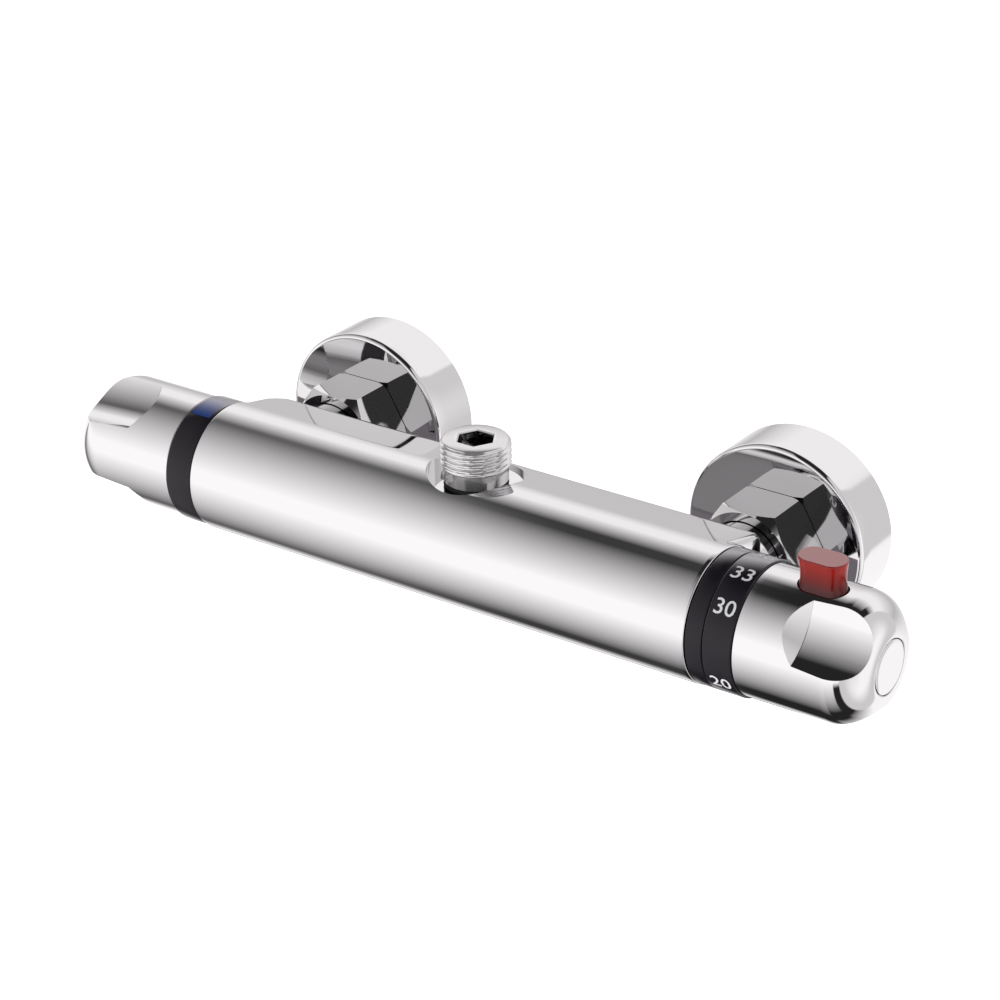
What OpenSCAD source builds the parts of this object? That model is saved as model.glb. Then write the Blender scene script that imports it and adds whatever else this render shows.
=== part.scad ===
// Thermostatic bar shower valve for exposed mounting, with its inlet unions and wall plates.
// Origin: midpoint between the two wall inlets, on the finished wall. X runs along the bar
// (hot inlet at -X), Y runs into the wall, Z is up. All sizes are millimetres.

/* [Mounting] */
// Distance between the hot and cold inlets
inlet_pitch = 150; // [140:1:160]
// Distance from the finished wall to the axis of the bar
bar_to_wall = 66; // [64:0.5:72]
// Height of the bar axis above the wall inlets, taken up by the eccentric connectors
ecc_offset = 6; // [3:0.5:8]
// Radius of the G1/2 male thread
half_inch_r = 10.4775; // [10.3:0.05:10.6]
// Length of the G1/2 thread that goes into the wall
wall_thread_len = 20; // [14:1:24]
// Radius of the G3/4 male thread under the union nut
three_quarter_r = 13.14; // [13:0.02:13.16]

/* [Body] */
// Radius of the bar
bar_r = 20; // [19.8:0.1:21]
// Length of the bar to the left of the middle
body_left = 89.5; // [88:0.5:92]
// Length of the bar to the right of the middle
body_right = 87; // [86:0.5:90]
// Depth of the rear gallery housing behind the bar axis
hump_depth = 24; // [23.5:0.1:24.5]
// Half the height of the gallery housing at its rear corners
hump_half = 15.9; // [15:0.1:17]
// Rounding of the rear corners of the gallery housing
hump_corner = 4; // [3:0.25:5]
// Plan rounding of the left end of the gallery housing
hump_end_r = 10; // [4:0.5:12]
// Rounding at the ends of the bar
bar_edge = 1.2; // [0.4:0.1:1.6]

/* [Black rings] */
// Radius of the black rings
ring_r = 19.7; // [19:0.1:19.9]
// Width of the fixed stop ring
stop_ring_w = 5.2; // [4.5:0.1:6]
// Width of the turning scale ring
scale_ring_w = 8.8; // [8:0.1:10]
// Width of the flow ring
flow_ring_w = 9.6; // [8.5:0.1:10.5]
// Running gap between neighbours along the bar
run_gap = 0.3; // [0.2:0.05:0.5]

/* [Handles] */
// Radius of both handles
knob_r = 19.1; // [18.6:0.1:19.6]
// Length of the temperature handle
temp_knob_len = 37.8; // [36:0.2:42]
// Length of the flow handle
flow_knob_len = 40.6; // [38:0.2:44]
// Rounding of the outer end of a handle
dome_r = 11; // [9:0.25:12]
// Distance of a finger hollow from the handle axis, at its foot
hollow_height = 14; // [13.6:0.1:15]
// Distance from the inner end of a handle to the foot of its finger hollows
hollow_foot = 18; // [16:0.2:20]
// Radius of the pointed cutter that mills the finger hollows
hollow_r = 17.5; // [16:0.5:24]
// Slope of a finger hollow, deeper towards the outer end, in degrees
hollow_slope = 5; // [0:0.5:6]
// Angle of the first finger hollow of the temperature handle, front 0, top 90
temp_hollow_at = 38; // [30:1:40]
// Angle of the first finger hollow of the flow handle, front 0, top 90
flow_hollow_at = 65; // [40:1:90]

/* [Safety button] */
// Angle of the button on the handle, front 0, top 90
button_at = 86; // [84:1:92]
// Distance of the button from the inner end of the handle
button_from_ring = 17.6; // [17:0.1:19]
// Length of the button along the handle
button_len = 14.4; // [13:0.1:15]
// Width of the button across the handle
button_wid = 8.6; // [8:0.1:9.5]
// Distance from the handle axis to the top of the button
button_top = 28.2; // [27:0.1:29]
// Travel of the button
button_travel = 2.5; // [1:0.1:2.8]

/* [Outlet] */
// Distance of the outlet behind the bar axis
outlet_back = 5.5; // [4:0.1:5.8]
// Height of the top of the outlet above the bar axis
outlet_top = 29.7; // [29:0.1:32]
// Length of the outlet's G1/2 thread
outlet_thread_len = 8.3; // [7.5:0.1:9]
// Radius of the pocket round the outlet
pocket_r = 14.6; // [13:0.1:14.8]
// Height of the pocket floor above the bar axis
pocket_floor = 15; // [14.5:0.1:15.5]
// Size of the hexagon key socket, across its flats
outlet_key = 10; // [8:0.5:12]

/* [Union nuts and wall plates] */
// Metal between the thread of a union nut and its flats
nut_wall = 1.78; // [1.55:0.01:2.3]
// Length of a union nut
nut_len = 16.4; // [16:0.1:17]
// Radius of a wall plate
plate_r = 29.1; // [28:0.1:32]
// Depth of a wall plate
plate_depth = 17.8; // [17:0.1:19]
// Sheet thickness of a wall plate
plate_wall = 1.8; // [1.2:0.1:2.4]

/* [Waterways] */
// Radius of the chamber that holds the thermostatic cartridge
chamber_r = 14; // [13.8:0.1:14.1]
// Radius of the chamber that holds the flow headwork
headwork_chamber_r = 10.5; // [10.2:0.1:10.8]
// Radius of the hot and cold galleries
gallery_r = 3.6; // [3:0.1:3.8]
// Distance of the galleries behind the bar axis
gallery_back = 18.3; // [18.1:0.05:18.4]
// Radius of the bore for a check valve
check_bore_r = 8.5; // [8.2:0.1:8.8]
// Travel of a check valve poppet
check_travel = 3; // [1:0.25:3.5]

/* [Thermostat] */
// Travel of the adjusting nut to each side of its place
pusher_travel = 1; // [0.5:0.1:1.2]
// Travel of the mixing piston to each side of its place
piston_travel = 0.5; // [0.2:0.05:0.6]
// Angle that the temperature handle turns towards cold
turn_cold = 95; // [80:1:100]
// Angle that the temperature handle turns towards hot
turn_hot = 105; // [80:1:110]

/* [Hidden] */
$fn = 96;

// Places along the bar, measured outwards from the middle on each side
fit = 0.1;
snug = 0.05;
stop_ring_x = body_right + run_gap;
scale_ring_x = stop_ring_x + stop_ring_w + run_gap;
temp_knob_x = scale_ring_x + scale_ring_w + snug;
flow_ring_x = body_left + run_gap;
flow_knob_x = flow_ring_x + flow_ring_w + run_gap;

// Inside of a handle, measured from its inner end
knob_mouth_r = ring_r - 3.2;
knob_mouth = 6;
knob_cavity_r = 11.8;
knob_cavity = 24.5;
hub_r = 8.5;
hub_start = 2;
insert_r = 6.5;
insert_end = 11.5;
spindle_r = 4;
spindle_tip = 9.5;
screw_r = 2;
screw_head_r = 4.2;
screw_head_h = 3;
screw_recess = 13;
screw_recess_r = 4.8;
screw_start = 3;
disc_r = knob_r - dome_r;
disc_h = 2;

// Inside of the body
thread_entry_r = chamber_r + 2;
thread_entry = 8;
chamber_end = 38;
headwork_thread_r = headwork_chamber_r + 1;
headwork_thread = 11;
headwork_floor = 60;
mixed_r = 6;
mixed_drop = 4;
return_r = 3;
return_up = 10.5;
port_r = 3;
hot_port_x = 43.5;
cold_port_x = 57.5;
inlet_bore_r = 5;
gallery_over = port_r + 1;

// The cover starts a hair under the bar's skin, and stops short of the bar's rounded ends
hump_sink = 0.05;
hump_inset = bar_edge + 0.3;

// Inlet tails and what sits on them, measured from the wall
nut_gap = 0.2;
nut_back = plate_depth + nut_gap;
nut_front = nut_back + nut_len;
nut_shoulder = 3.2;
tail_r = 12;
tail_end = 28.2;
seal_h = 1.8;
ecc_end = tail_end - seal_h;
ecc_bore_r = 9;
wall_bore_r = 7.5;
ecc_shoulder = 8;
ecc_wall_start = 12;
clip_w = 1.2;
clip_r = three_quarter_r - 0.05;
clip_inner_r = tail_r - 0.9;
clip_at = nut_front - nut_shoulder - clip_w - 0.2;
nut_thread_gap = 0.08;
nut_thread_r = three_quarter_r + nut_thread_gap;
nut_af = 2 * (nut_thread_r + nut_wall);
thread_relief = 0.4;
check_end = bar_to_wall - hump_depth + 1;

// Thermostatic cartridge, measured along the bar from the middle
cart_start = chamber_end + snug;
cart_r = chamber_r - fit;
cart_groove_r = cart_r - 1.9;
cart_bore_r = 9.5;
cart_bore_end = 64;
pusher_r = 6.5;
overload_spring_r = 5;
overload_wire = 0.5;
return_spring_r = 7.8;
return_wire = 0.6;
piston_hole_at = 6.5;
piston_hole_r = 1.4;
cart_flange_x = body_right - thread_entry;
cart_flange_w = 2.8;
cart_neck_r = 8;
cart_neck_end = stop_ring_x + 9.7;
retainer_x = cart_flange_x + cart_flange_w + snug;
retainer_neck_r = 12.6;
retainer_end = stop_ring_x + stop_ring_w - 1.2;
retainer_bore_r = cart_neck_r + fit;
o_ring_w = 0.8;
o_ring_1 = 50.5;
o_ring_2 = 66;
piston_x = 48;
piston_len = 6;
spring_x = cart_start + 1.6;
wax_r = 3.2;
wax_start = 42;
wax_end = 56;
cap_x = 59;
pusher_x = 66.5;
pusher_len = 8;
thrust_x = 76.5;
thrust_r = 6;

// Stops inside the scale ring
sleeve_r = 13;
scale_bore_r = 14.6;
stop_lug_w = 12;
stop_spare = 2;
stop_lug_at = -90;

// Flow headwork, measured along the bar from the middle to the left
head_r = headwork_thread_r - fit;
nose_r = headwork_chamber_r - 1.1;
seal_x = headwork_floor + snug;
disc_x = headwork_floor + 2.3;
ceramic_r = 7.5;
ceramic_h = 2.4;
fixed_disc_x = disc_x + 1;
turning_disc_x = fixed_disc_x + ceramic_h;
driver_x = turning_disc_x + ceramic_h;
driver_h = 1.9;
driver_peg_r = 1.1;
driver_peg_out = 4.6;
window_r = 1.5;
head_bore_end = driver_x + driver_h + 0.1;
barrel_r = 8;
barrel_end = flow_ring_x + 7.4;
clip_gap = 0.1;

// Turns a child that is drawn round Z, with Z pointing along the bar to the right
module on_bar(x) {
    translate([x, -bar_to_wall, ecc_offset])
    rotate([0, 90, 0])
    children();
}

// The same, with Z pointing along the bar to the left
module on_bar_left(x) {
    mirror([1, 0, 0])
    on_bar(x)
    children();
}

// Turns a child that points along local X to an angle round the bar, front 0, top 90
module at_angle(a) {
    rotate([0, 0, -90 - a])
    children();
}

// Draws a child round an inlet axis, with Z pointing from the bar to the wall
module on_inlet(side, from_wall) {
    translate([side * inlet_pitch / 2, -from_wall, ecc_offset])
    rotate([-90, 0, 0])
    children();
}

// Ring between two radii and two heights
module tube(outer, inner, low, high) {
    translate([0, 0, low])
    difference() {
        cylinder(r = outer, h = high - low);
        translate([0, 0, -1]) cylinder(r = inner, h = high - low + 2);
    }
}

// Rod between two heights
module rod(radius, low, high) {
    translate([0, 0, low]) cylinder(r = radius, h = high - low);
}

// Rubber ring round Z
module o_ring(radius, thick, height) {
    translate([0, 0, height])
    rotate_extrude()
    translate([radius, 0])
    circle(r = thick, $fn = 32);
}

// Block with two round ends, long side along local Z, built up along local X
module stadium(length, width, low, high) {
    straight = (length - width) / 2;
    translate([low, 0, 0])
    rotate([0, 90, 0]) {
        translate([-straight, -width / 2, 0]) cube([2 * straight, width, high - low]);
        for (end = [-1, 1]) translate([end * straight, 0, 0]) cylinder(d = width, h = high - low);
    }
}

// Coil spring round Z as one swept tube
module coil_spring(radius, wire, low, high, turns) {
    sides = 6;
    per_turn = 14;
    steps = round(turns * per_turn);
    rise = high - low - 2 * wire;
    function ring_point(i, j) = let (
        turn = 360 * turns * i / steps,
        around = 360 * j / sides,
        out = radius + wire * cos(around)
    ) [
        out * cos(turn),
        out * sin(turn),
        low + wire + rise * i / steps + wire * sin(around),
    ];
    points = [for (i = [0:steps]) for (j = [0:sides - 1]) ring_point(i, j)];
    walls = [
        for (i = [0:steps - 1]) for (j = [0:sides - 1]) let (
            a = i * sides + j,
            b = i * sides + (j + 1) % sides
        ) each [[a, b + sides, b], [a, a + sides, b + sides]]
    ];
    first = [for (j = [0:sides - 1]) j];
    last = [for (j = [sides - 1:-1:0]) steps * sides + j];
    polyhedron(points = points, faces = concat(walls, [first, last]), convexity = 8);
}

// Cross-section of the gallery housing: a tangent cover from the bar to two rear corners
module hump_section() {
    corner_back = hump_depth - hump_corner;
    corner_up = hump_half - hump_corner;
    reach = norm([corner_back, corner_up]);
    tangent = atan2(corner_back, corner_up) - acos((bar_r - hump_corner) / reach);
    sunk_r = bar_r - hump_sink;
    touch = [sunk_r * cos(tangent), sunk_r * sin(tangent)];
    rear = [corner_up + hump_corner * cos(tangent), corner_back + hump_corner * sin(tangent)];
    union() {
        polygon([
            touch,
            rear,
            [corner_up, hump_depth],
            [-corner_up, hump_depth],
            [-rear[0], rear[1]],
            [-touch[0], touch[1]],
        ]);
        for (s = [-1, 1]) translate([s * corner_up, corner_back]) circle(r = hump_corner);
    }
}

// Plan of the gallery housing, with its left rear corner rounded
module hump_plan() {
    back = hump_depth - bar_to_wall;
    difference() {
        translate([-body_left + hump_inset, -bar_to_wall - bar_r])
        square([body_left + body_right - 2 * hump_inset, bar_r + hump_depth + 1]);
        difference() {
            translate([-body_left, back - hump_end_r]) square([hump_end_r + hump_inset, hump_end_r + 2]);
            translate([-body_left + hump_inset + hump_end_r, back - hump_end_r]) circle(r = hump_end_r);
        }
    }
}

module body_outside() {
    length = body_left + body_right;
    union() {
        on_bar(-body_left)
        rotate_extrude()
        difference() {
            square([bar_r, length]);
            for (end = [0, 1]) translate([bar_r - bar_edge, end ? length - bar_edge : bar_edge])
                difference() {
                    translate([0, end ? 0 : -bar_edge - 1]) square(bar_edge + 1);
                    circle(r = bar_edge);
                }
        }
        intersection() {
            on_bar(-body_left) linear_extrude(height = length) hump_section();
            translate([0, 0, ecc_offset - bar_r]) linear_extrude(height = 2 * bar_r) hump_plan();
        }
        for (side = [-1, 1])
            on_inlet(side, bar_to_wall - hump_depth + 2)
            cylinder(r = tail_r, h = bar_to_wall - hump_depth + 2 - tail_end);
    }
}

module inlet_cut(side) {
    gallery_from_wall = bar_to_wall - gallery_back;
    on_inlet(side, gallery_from_wall) cylinder(r = inlet_bore_r, h = gallery_from_wall - tail_end + 1);
    on_inlet(side, check_end) cylinder(r = check_bore_r, h = check_end - tail_end + 1);
    on_inlet(side, clip_at + clip_w) tube(tail_r + 1, clip_inner_r, 0, clip_w);
}

module valve_body() {
    color("gainsboro")
    difference() {
        body_outside();
        on_bar(chamber_end) cylinder(r = chamber_r, h = body_right - chamber_end + 1);
        on_bar(cart_flange_x) cylinder(r = thread_entry_r, h = thread_entry + 1);
        on_bar_left(headwork_floor) cylinder(r = headwork_chamber_r, h = body_left - headwork_floor + 1);
        on_bar_left(body_left - headwork_thread) cylinder(r = headwork_thread_r, h = headwork_thread + 1);
        on_bar(-headwork_floor - 1)
        translate([mixed_drop, 0, 0])
        cylinder(r = mixed_r, h = headwork_floor + chamber_end + 2);
        on_bar(-headwork_floor - 10)
        translate([-return_up, outlet_back, 0])
        cylinder(r = return_r, h = headwork_floor + 12);
        on_bar(-inlet_pitch / 2)
        translate([0, gallery_back, 0])
        cylinder(r = gallery_r, h = inlet_pitch / 2 + hot_port_x + gallery_over);
        on_bar(cold_port_x - gallery_over)
        translate([0, gallery_back, 0])
        cylinder(r = gallery_r, h = inlet_pitch / 2 - cold_port_x + gallery_over);
        for (port = [hot_port_x, cold_port_x])
            translate([port, -bar_to_wall + chamber_r - 2, ecc_offset])
            rotate([-90, 0, 0])
            cylinder(r = port_r, h = gallery_back - chamber_r + 2);
        for (side = [-1, 1]) inlet_cut(side);
        outlet_axis() rod(pocket_r, pocket_floor, bar_r + 5);
        outlet_axis() rod(nipple_root_r + snug, nipple_low - 1, pocket_floor + 1);
    }
}

// Outlet
nipple_root_r = 8.3;
nipple_low = 8;
collar_r = half_inch_r - 0.9;
outlet_chamfer = 1;
key_depth = 9;
nipple_bore_r = 4.6;
outlet_seal = 0.85;

module outlet_axis() {
    translate([0, -bar_to_wall + outlet_back, ecc_offset])
    children();
}

module outlet_nipple() {
    thread_low = outlet_top - outlet_thread_len;
    color("silver")
    outlet_axis()
    difference() {
        union() {
            rod(nipple_root_r, nipple_low, pocket_floor + 1);
            rod(collar_r, pocket_floor, thread_low + 1);
            rod(half_inch_r, thread_low, outlet_top - outlet_chamfer);
            translate([0, 0, outlet_top - outlet_chamfer])
            cylinder(r1 = half_inch_r, r2 = half_inch_r - outlet_chamfer, h = outlet_chamfer);
        }
        rod(nipple_bore_r, nipple_low - 1, outlet_top);
        translate([0, 0, outlet_top - key_depth]) cylinder(d = outlet_key / cos(30), h = key_depth + 1, $fn = 6);
        tube(collar_r + 1, collar_r - 2 * outlet_seal, pocket_floor - 1, pocket_floor + 2 * outlet_seal);
    }
}

module outlet_o_ring() {
    color("black")
    outlet_axis()
    o_ring(collar_r - outlet_seal, outlet_seal, pocket_floor + outlet_seal);
}

// Windows through the cartridge wall into a port groove
module cartridge_windows(x) {
    for (a = [0:60:300])
        translate([0, 0, x])
        rotate([0, 0, a])
        rotate([0, 90, 0])
        cylinder(r = 2, h = chamber_r + 2);
}

module cartridge_housing() {
    color("dimgray")
    on_bar(0)
    difference() {
        union() {
            rod(cart_r, cart_start, cart_flange_x + 1);
            rod(thread_entry_r - 0.2, cart_flange_x + snug, cart_flange_x + cart_flange_w);
            rod(cart_neck_r, cart_flange_x, cart_neck_end);
        }
        rod(mixed_r, cart_start - 1, spring_x);
        rod(cart_bore_r, spring_x, cart_bore_end);
        rod(pusher_r + fit, cart_bore_end - 1, thrust_x + 2.6);
        rod(spindle_r + fit, thrust_x, cart_neck_end + 1);
        for (port = [hot_port_x, cold_port_x]) {
            tube(chamber_r + 1, cart_groove_r, port - port_r, port + port_r);
            cartridge_windows(port);
        }
        for (place = [o_ring_1, o_ring_2])
            tube(chamber_r + 1, chamber_r - 2 * o_ring_w, place - o_ring_w - 0.1, place + o_ring_w + 0.1);
    }
}

module cartridge_o_rings() {
    color("black")
    on_bar(0)
    for (place = [o_ring_1, o_ring_2])
        o_ring(chamber_r - o_ring_w, o_ring_w, place);
}

module cartridge_retainer() {
    color("goldenrod")
    on_bar(0)
    difference() {
        union() {
            rod(thread_entry_r - fit, retainer_x, body_right - 0.5);
            rod(retainer_neck_r, body_right - 1, retainer_end);
        }
        rod(retainer_bore_r, retainer_x - 1, retainer_end + 1);
    }
}

module adjusting_spindle() {
    tip = temp_knob_x + spindle_tip;
    color("goldenrod")
    on_bar(0)
    difference() {
        union() {
            rod(spindle_r - 0.6, pusher_x - 1, thrust_x + 1);
            rod(thrust_r, thrust_x, thrust_x + 2.5);
            rod(spindle_r, thrust_x, tip);
        }
        rod(screw_r + snug, temp_knob_x + screw_start - 1, tip + 1);
        tube(spindle_r + 1, spindle_r - 1, thrust_x + 8, thrust_x + 10);
    }
}

module spindle_o_ring() {
    color("black")
    on_bar(0)
    o_ring(spindle_r - 0.45, 0.5, thrust_x + 9);
}

module adjusting_nut() {
    color("goldenrod")
    on_bar(0)
    difference() {
        rod(pusher_r, pusher_x, pusher_x + pusher_len);
        rod(spindle_r - 0.5, pusher_x - 1, pusher_x + pusher_len + 1);
    }
}

module overload_spring() {
    color("lightsteelblue")
    on_bar(0)
    coil_spring(overload_spring_r, overload_wire, cap_x + 1.2, pusher_x - 0.2, 3.5);
}

module wax_element() {
    color("peru")
    on_bar(0)
    union() {
        rod(wax_r, wax_start, wax_end);
        rod(wax_r + 1.6, piston_x + piston_len, piston_x + piston_len + 1.5);
        rod(1.2, wax_end - 1, cap_x + 1);
        rod(5.6, cap_x, cap_x + 1);
    }
}

module mixing_piston() {
    color("whitesmoke")
    on_bar(0)
    difference() {
        rod(cart_bore_r - fit, piston_x, piston_x + piston_len);
        rod(wax_r + snug, piston_x - 1, piston_x + piston_len + 1);
        for (a = [0:60:300])
            rotate([0, 0, a])
            translate([piston_hole_at, 0, 0])
            rod(piston_hole_r, piston_x - 1, piston_x + piston_len + 1);
    }
}

module return_spring() {
    color("lightsteelblue")
    on_bar(0)
    coil_spring(return_spring_r, return_wire, spring_x + 0.2, piston_x - 0.2, 3.5);
}

// Arc-shaped block round Z
module arc_block(outer, inner, low, high, from, sweep) {
    rotate([0, 0, from])
    translate([0, 0, low])
    rotate_extrude(angle = sweep)
    translate([inner, 0])
    square([outer - inner, high - low]);
}

module stop_ring() {
    low = stop_ring_x;
    high = low + stop_ring_w;
    lug_end = scale_ring_x + scale_ring_w - 2;
    free = turn_cold + turn_hot + stop_lug_w + 2 * stop_spare;
    color("#1d1d20")
    on_bar(0)
    union() {
        tube(ring_r, retainer_neck_r + snug, low, high);
        tube(sleeve_r, sleeve_r - 2, high - 0.9, lug_end);
        arc_block(scale_bore_r - 0.4, sleeve_r - 0.5, high - 0.5, lug_end,
            -90 - (stop_lug_at - turn_hot - stop_lug_w / 2 - stop_spare), 360 - free);
    }
}

module scale_ring() {
    low = scale_ring_x;
    high = low + scale_ring_w;
    color("#1d1d20")
    on_bar(0)
    union() {
        tube(ring_r, scale_bore_r, low, high);
        tube(knob_mouth_r - fit, scale_bore_r, high - 1, temp_knob_x + knob_mouth - 0.2);
        arc_block(scale_bore_r + 1, sleeve_r + 0.35, low + 0.5, high - 2.5,
            -90 - stop_lug_at - stop_lug_w / 2, stop_lug_w);
    }
}

// Outside of a handle: a cylinder whose outer end is rounded into a flat for the disc
module knob_outside(length) {
    rotate_extrude()
    difference() {
        square([knob_r, length]);
        translate([disc_r, length - dome_r])
        difference() {
            square([dome_r + 1, dome_r + 1]);
            circle(r = dome_r);
        }
    }
}

// One finger hollow, milled from the outer end with a round cutter whose tip is a 45 degree cone
module finger_hollow(length) {
    translate([hollow_height, 0, hollow_foot])
    rotate([0, -hollow_slope, 0])
    translate([hollow_r, 0, 0]) {
        cylinder(r = hollow_r, h = length, $fn = 160);
        translate([0, 0, -hollow_r]) cylinder(r1 = 0, r2 = hollow_r, h = hollow_r, $fn = 160);
    }
}

module knob(length, hollow_at) {
    difference() {
        knob_outside(length);
        for (third = [0:2]) at_angle(hollow_at + 120 * third) finger_hollow(length);
        rod(knob_mouth_r, -1, knob_mouth);
        difference() {
            rod(knob_cavity_r, knob_mouth - 1, knob_cavity);
            rod(hub_r, -2, knob_cavity + 1);
        }
        rod(insert_r, -1, insert_end);
        rod(screw_r + 0.3, 0, length);
        rod(screw_recess_r, length - screw_recess, length);
        rod(disc_r, length - disc_h, length + 1);
    }
}

module knob_hub(length) {
    difference() {
        rod(hub_r, hub_start, knob_mouth + 1);
        rod(insert_r, hub_start - 1, insert_end);
    }
}

module knob_insert() {
    tube(insert_r - snug, spindle_r + snug, hub_start, insert_end - 0.1);
}

module knob_screw(length) {
    head = length - screw_recess;
    difference() {
        union() {
            rod(screw_r, screw_start, head + 1);
            rod(screw_head_r, head + snug, head + screw_head_h);
        }
        translate([0, 0, head + 1.2]) cylinder(d = 4.6, h = screw_head_h, $fn = 6);
    }
}

module knob_disc(length) {
    union() {
        rod(disc_r - fit, length - disc_h + snug, length);
        tube(screw_recess_r - fit, screw_recess_r - 1.2, length - disc_h - 3, length - disc_h + 1);
    }
}

// Pocket of the safety button through the handle wall and into the hub
flange_len = 15.4;
flange_wid = 10;
button_spring_r = 3.2;
button_spring_foot = 5.2;
flange_seat_r = 13;
flange_h = 1.3;
button_flange = flange_seat_r - flange_h;
button_wire = 0.35;
button_peg_h = 1.5;
button_peg_gap = 1.1;

module button_pocket() {
    translate([0, 0, button_from_ring]) {
        stadium(button_len + 0.5, button_wid + 0.5, flange_seat_r - 2, knob_r + 2);
        stadium(flange_len + 0.8, flange_wid + 0.8, hub_r - 0.2, flange_seat_r);
        rotate([0, 90, 0]) rod(button_spring_r + 1, button_spring_foot, hub_r + 1);
    }
}

module temperature_handle() {
    color("gainsboro")
    on_bar(temp_knob_x)
    difference() {
        union() {
            knob(temp_knob_len, temp_hollow_at);
            knob_hub(temp_knob_len);
        }
        at_angle(button_at) button_pocket();
    }
}

module temperature_insert() {
    color("white")
    on_bar(temp_knob_x) knob_insert();
}

module temperature_screw() {
    color("darkgray")
    on_bar(temp_knob_x) knob_screw(temp_knob_len);
}

module temperature_end_disc() {
    color("gainsboro")
    on_bar(temp_knob_x) knob_disc(temp_knob_len);
}

module safety_button() {
    color("firebrick")
    on_bar(temp_knob_x)
    at_angle(button_at)
    translate([0, 0, button_from_ring])
    union() {
        stadium(button_len, button_wid, button_flange, button_top);
        stadium(flange_len, flange_wid, button_flange, flange_seat_r - fit);
        rotate([0, 90, 0]) rod(button_spring_r - button_peg_gap, button_flange - button_peg_h, button_flange + 1);
    }
}

module button_spring() {
    color("lightsteelblue")
    on_bar(temp_knob_x)
    at_angle(button_at)
    translate([0, 0, button_from_ring])
    rotate([0, 90, 0])
    coil_spring(button_spring_r, button_wire, button_spring_foot + fit, button_flange - fit, 4);
}

module flow_ring() {
    low = flow_ring_x;
    color("#1d1d20")
    on_bar_left(0)
    difference() {
        union() {
            tube(ring_r, ring_r - 3.4, low, low + flow_ring_w);
            tube(ring_r - 1, barrel_r + snug, low + 1, low + 4);
        }
        at_angle(flow_mark_at) flow_mark_shape(0.05);
    }
}

// Blue inlay in the flow ring
flow_mark_at = 83;
flow_mark_len = 7;
flow_mark_wid = 10.2;
flow_mark_x = flow_ring_x + 1.3;

module flow_mark_shape(spare) {
    intersection() {
        tube(ring_r, ring_r - 0.8 - spare, flow_mark_x - spare, flow_mark_x + flow_mark_len + spare);
        translate([0, -flow_mark_wid / 2 - spare, flow_mark_x - 1])
        cube([ring_r + 2, flow_mark_wid + 2 * spare, flow_mark_len + 2]);
    }
}

module flow_mark() {
    color("royalblue")
    on_bar_left(0)
    at_angle(flow_mark_at)
    flow_mark_shape(0);
}

module headwork_body() {
    thread_x = body_left - headwork_thread;
    color("goldenrod")
    on_bar_left(0)
    difference() {
        union() {
            rod(nose_r, disc_x, thread_x + 1);
            rod(head_r, thread_x + snug, body_left - 0.3);
            rod(barrel_r, body_left - 1, barrel_end);
        }
        rod(ceramic_r + fit, disc_x - 1, head_bore_end);
        rod(spindle_r + fit, head_bore_end - 1, barrel_end + 1);
        for (a = [0, 90, 180, 270])
            rotate([0, 0, a])
            translate([0, 0, turning_disc_x + ceramic_h / 2])
            rotate([0, 90, 0])
            cylinder(r = window_r, h = nose_r + 2);
        tube(nose_r + 1, nose_r - 1.2, thread_x - 3, thread_x - 1);
    }
}

module headwork_o_ring() {
    color("black")
    on_bar_left(0)
    o_ring(headwork_chamber_r - 1.05, 1, body_left - headwork_thread - 2);
}

module headwork_seal() {
    color("black")
    on_bar_left(0)
    tube(ceramic_r, 4.6, seal_x, disc_x + 0.9);
}

// Ceramic disc with two sector openings, which reach its rim when the water leaves sideways
sector_from = 12;
sector_sweep = 66;
sector_outer = 5.4;
sector_inner = 1.8;

module ceramic_disc(low, reach) {
    difference() {
        rod(ceramic_r, low, low + ceramic_h);
        for (a = [0, 180])
            arc_block(reach, sector_inner, low - 1, low + ceramic_h + 1, a + sector_from, sector_sweep);
    }
}

module fixed_ceramic_disc() {
    color("white")
    on_bar_left(0) ceramic_disc(fixed_disc_x, sector_outer);
}

module turning_ceramic_disc() {
    color("white")
    on_bar_left(0) rotate([0, 0, 90]) ceramic_disc(turning_disc_x, ceramic_r + 1);
}

module flow_spindle() {
    tip = flow_knob_x + spindle_tip;
    peg_at = 90 + sector_from + asin((driver_peg_r + fit) / driver_peg_out);
    color("goldenrod")
    on_bar_left(0)
    difference() {
        union() {
            rod(ceramic_r - 1, driver_x, driver_x + driver_h);
            rod(spindle_r, driver_x, tip);
            for (a = [0, 180])
                rotate([0, 0, a + peg_at])
                translate([driver_peg_out, 0, 0])
                rod(driver_peg_r, turning_disc_x + 0.4, driver_x + 1);
        }
        rod(screw_r + snug, flow_knob_x + screw_start - 1, tip + 1);
        tube(spindle_r + 1, spindle_r - 1, body_left - 6, body_left - 4);
        tube(spindle_r + 1, spindle_r - 0.8, barrel_end + clip_gap, barrel_end + clip_gap + 1);
    }
}

module flow_spindle_o_ring() {
    color("black")
    on_bar_left(0)
    o_ring(spindle_r - 0.45, 0.5, body_left - 5);
}

module flow_spindle_clip() {
    color("darkgray")
    on_bar_left(0)
    difference() {
        tube(spindle_r + 1.6, spindle_r - 0.75, barrel_end + clip_gap, barrel_end + clip_gap + 0.9);
        translate([0, -1.5, barrel_end]) cube([10, 3, 3]);
    }
}

module flow_handle() {
    color("gainsboro")
    on_bar_left(flow_knob_x)
    union() {
        knob(flow_knob_len, flow_hollow_at);
        knob_hub(flow_knob_len);
    }
}

module flow_insert() {
    color("white")
    on_bar_left(flow_knob_x) knob_insert();
}

module flow_screw() {
    color("darkgray")
    on_bar_left(flow_knob_x) knob_screw(flow_knob_len);
}

module flow_end_disc() {
    color("gainsboro")
    on_bar_left(flow_knob_x) knob_disc(flow_knob_len);
}

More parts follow.
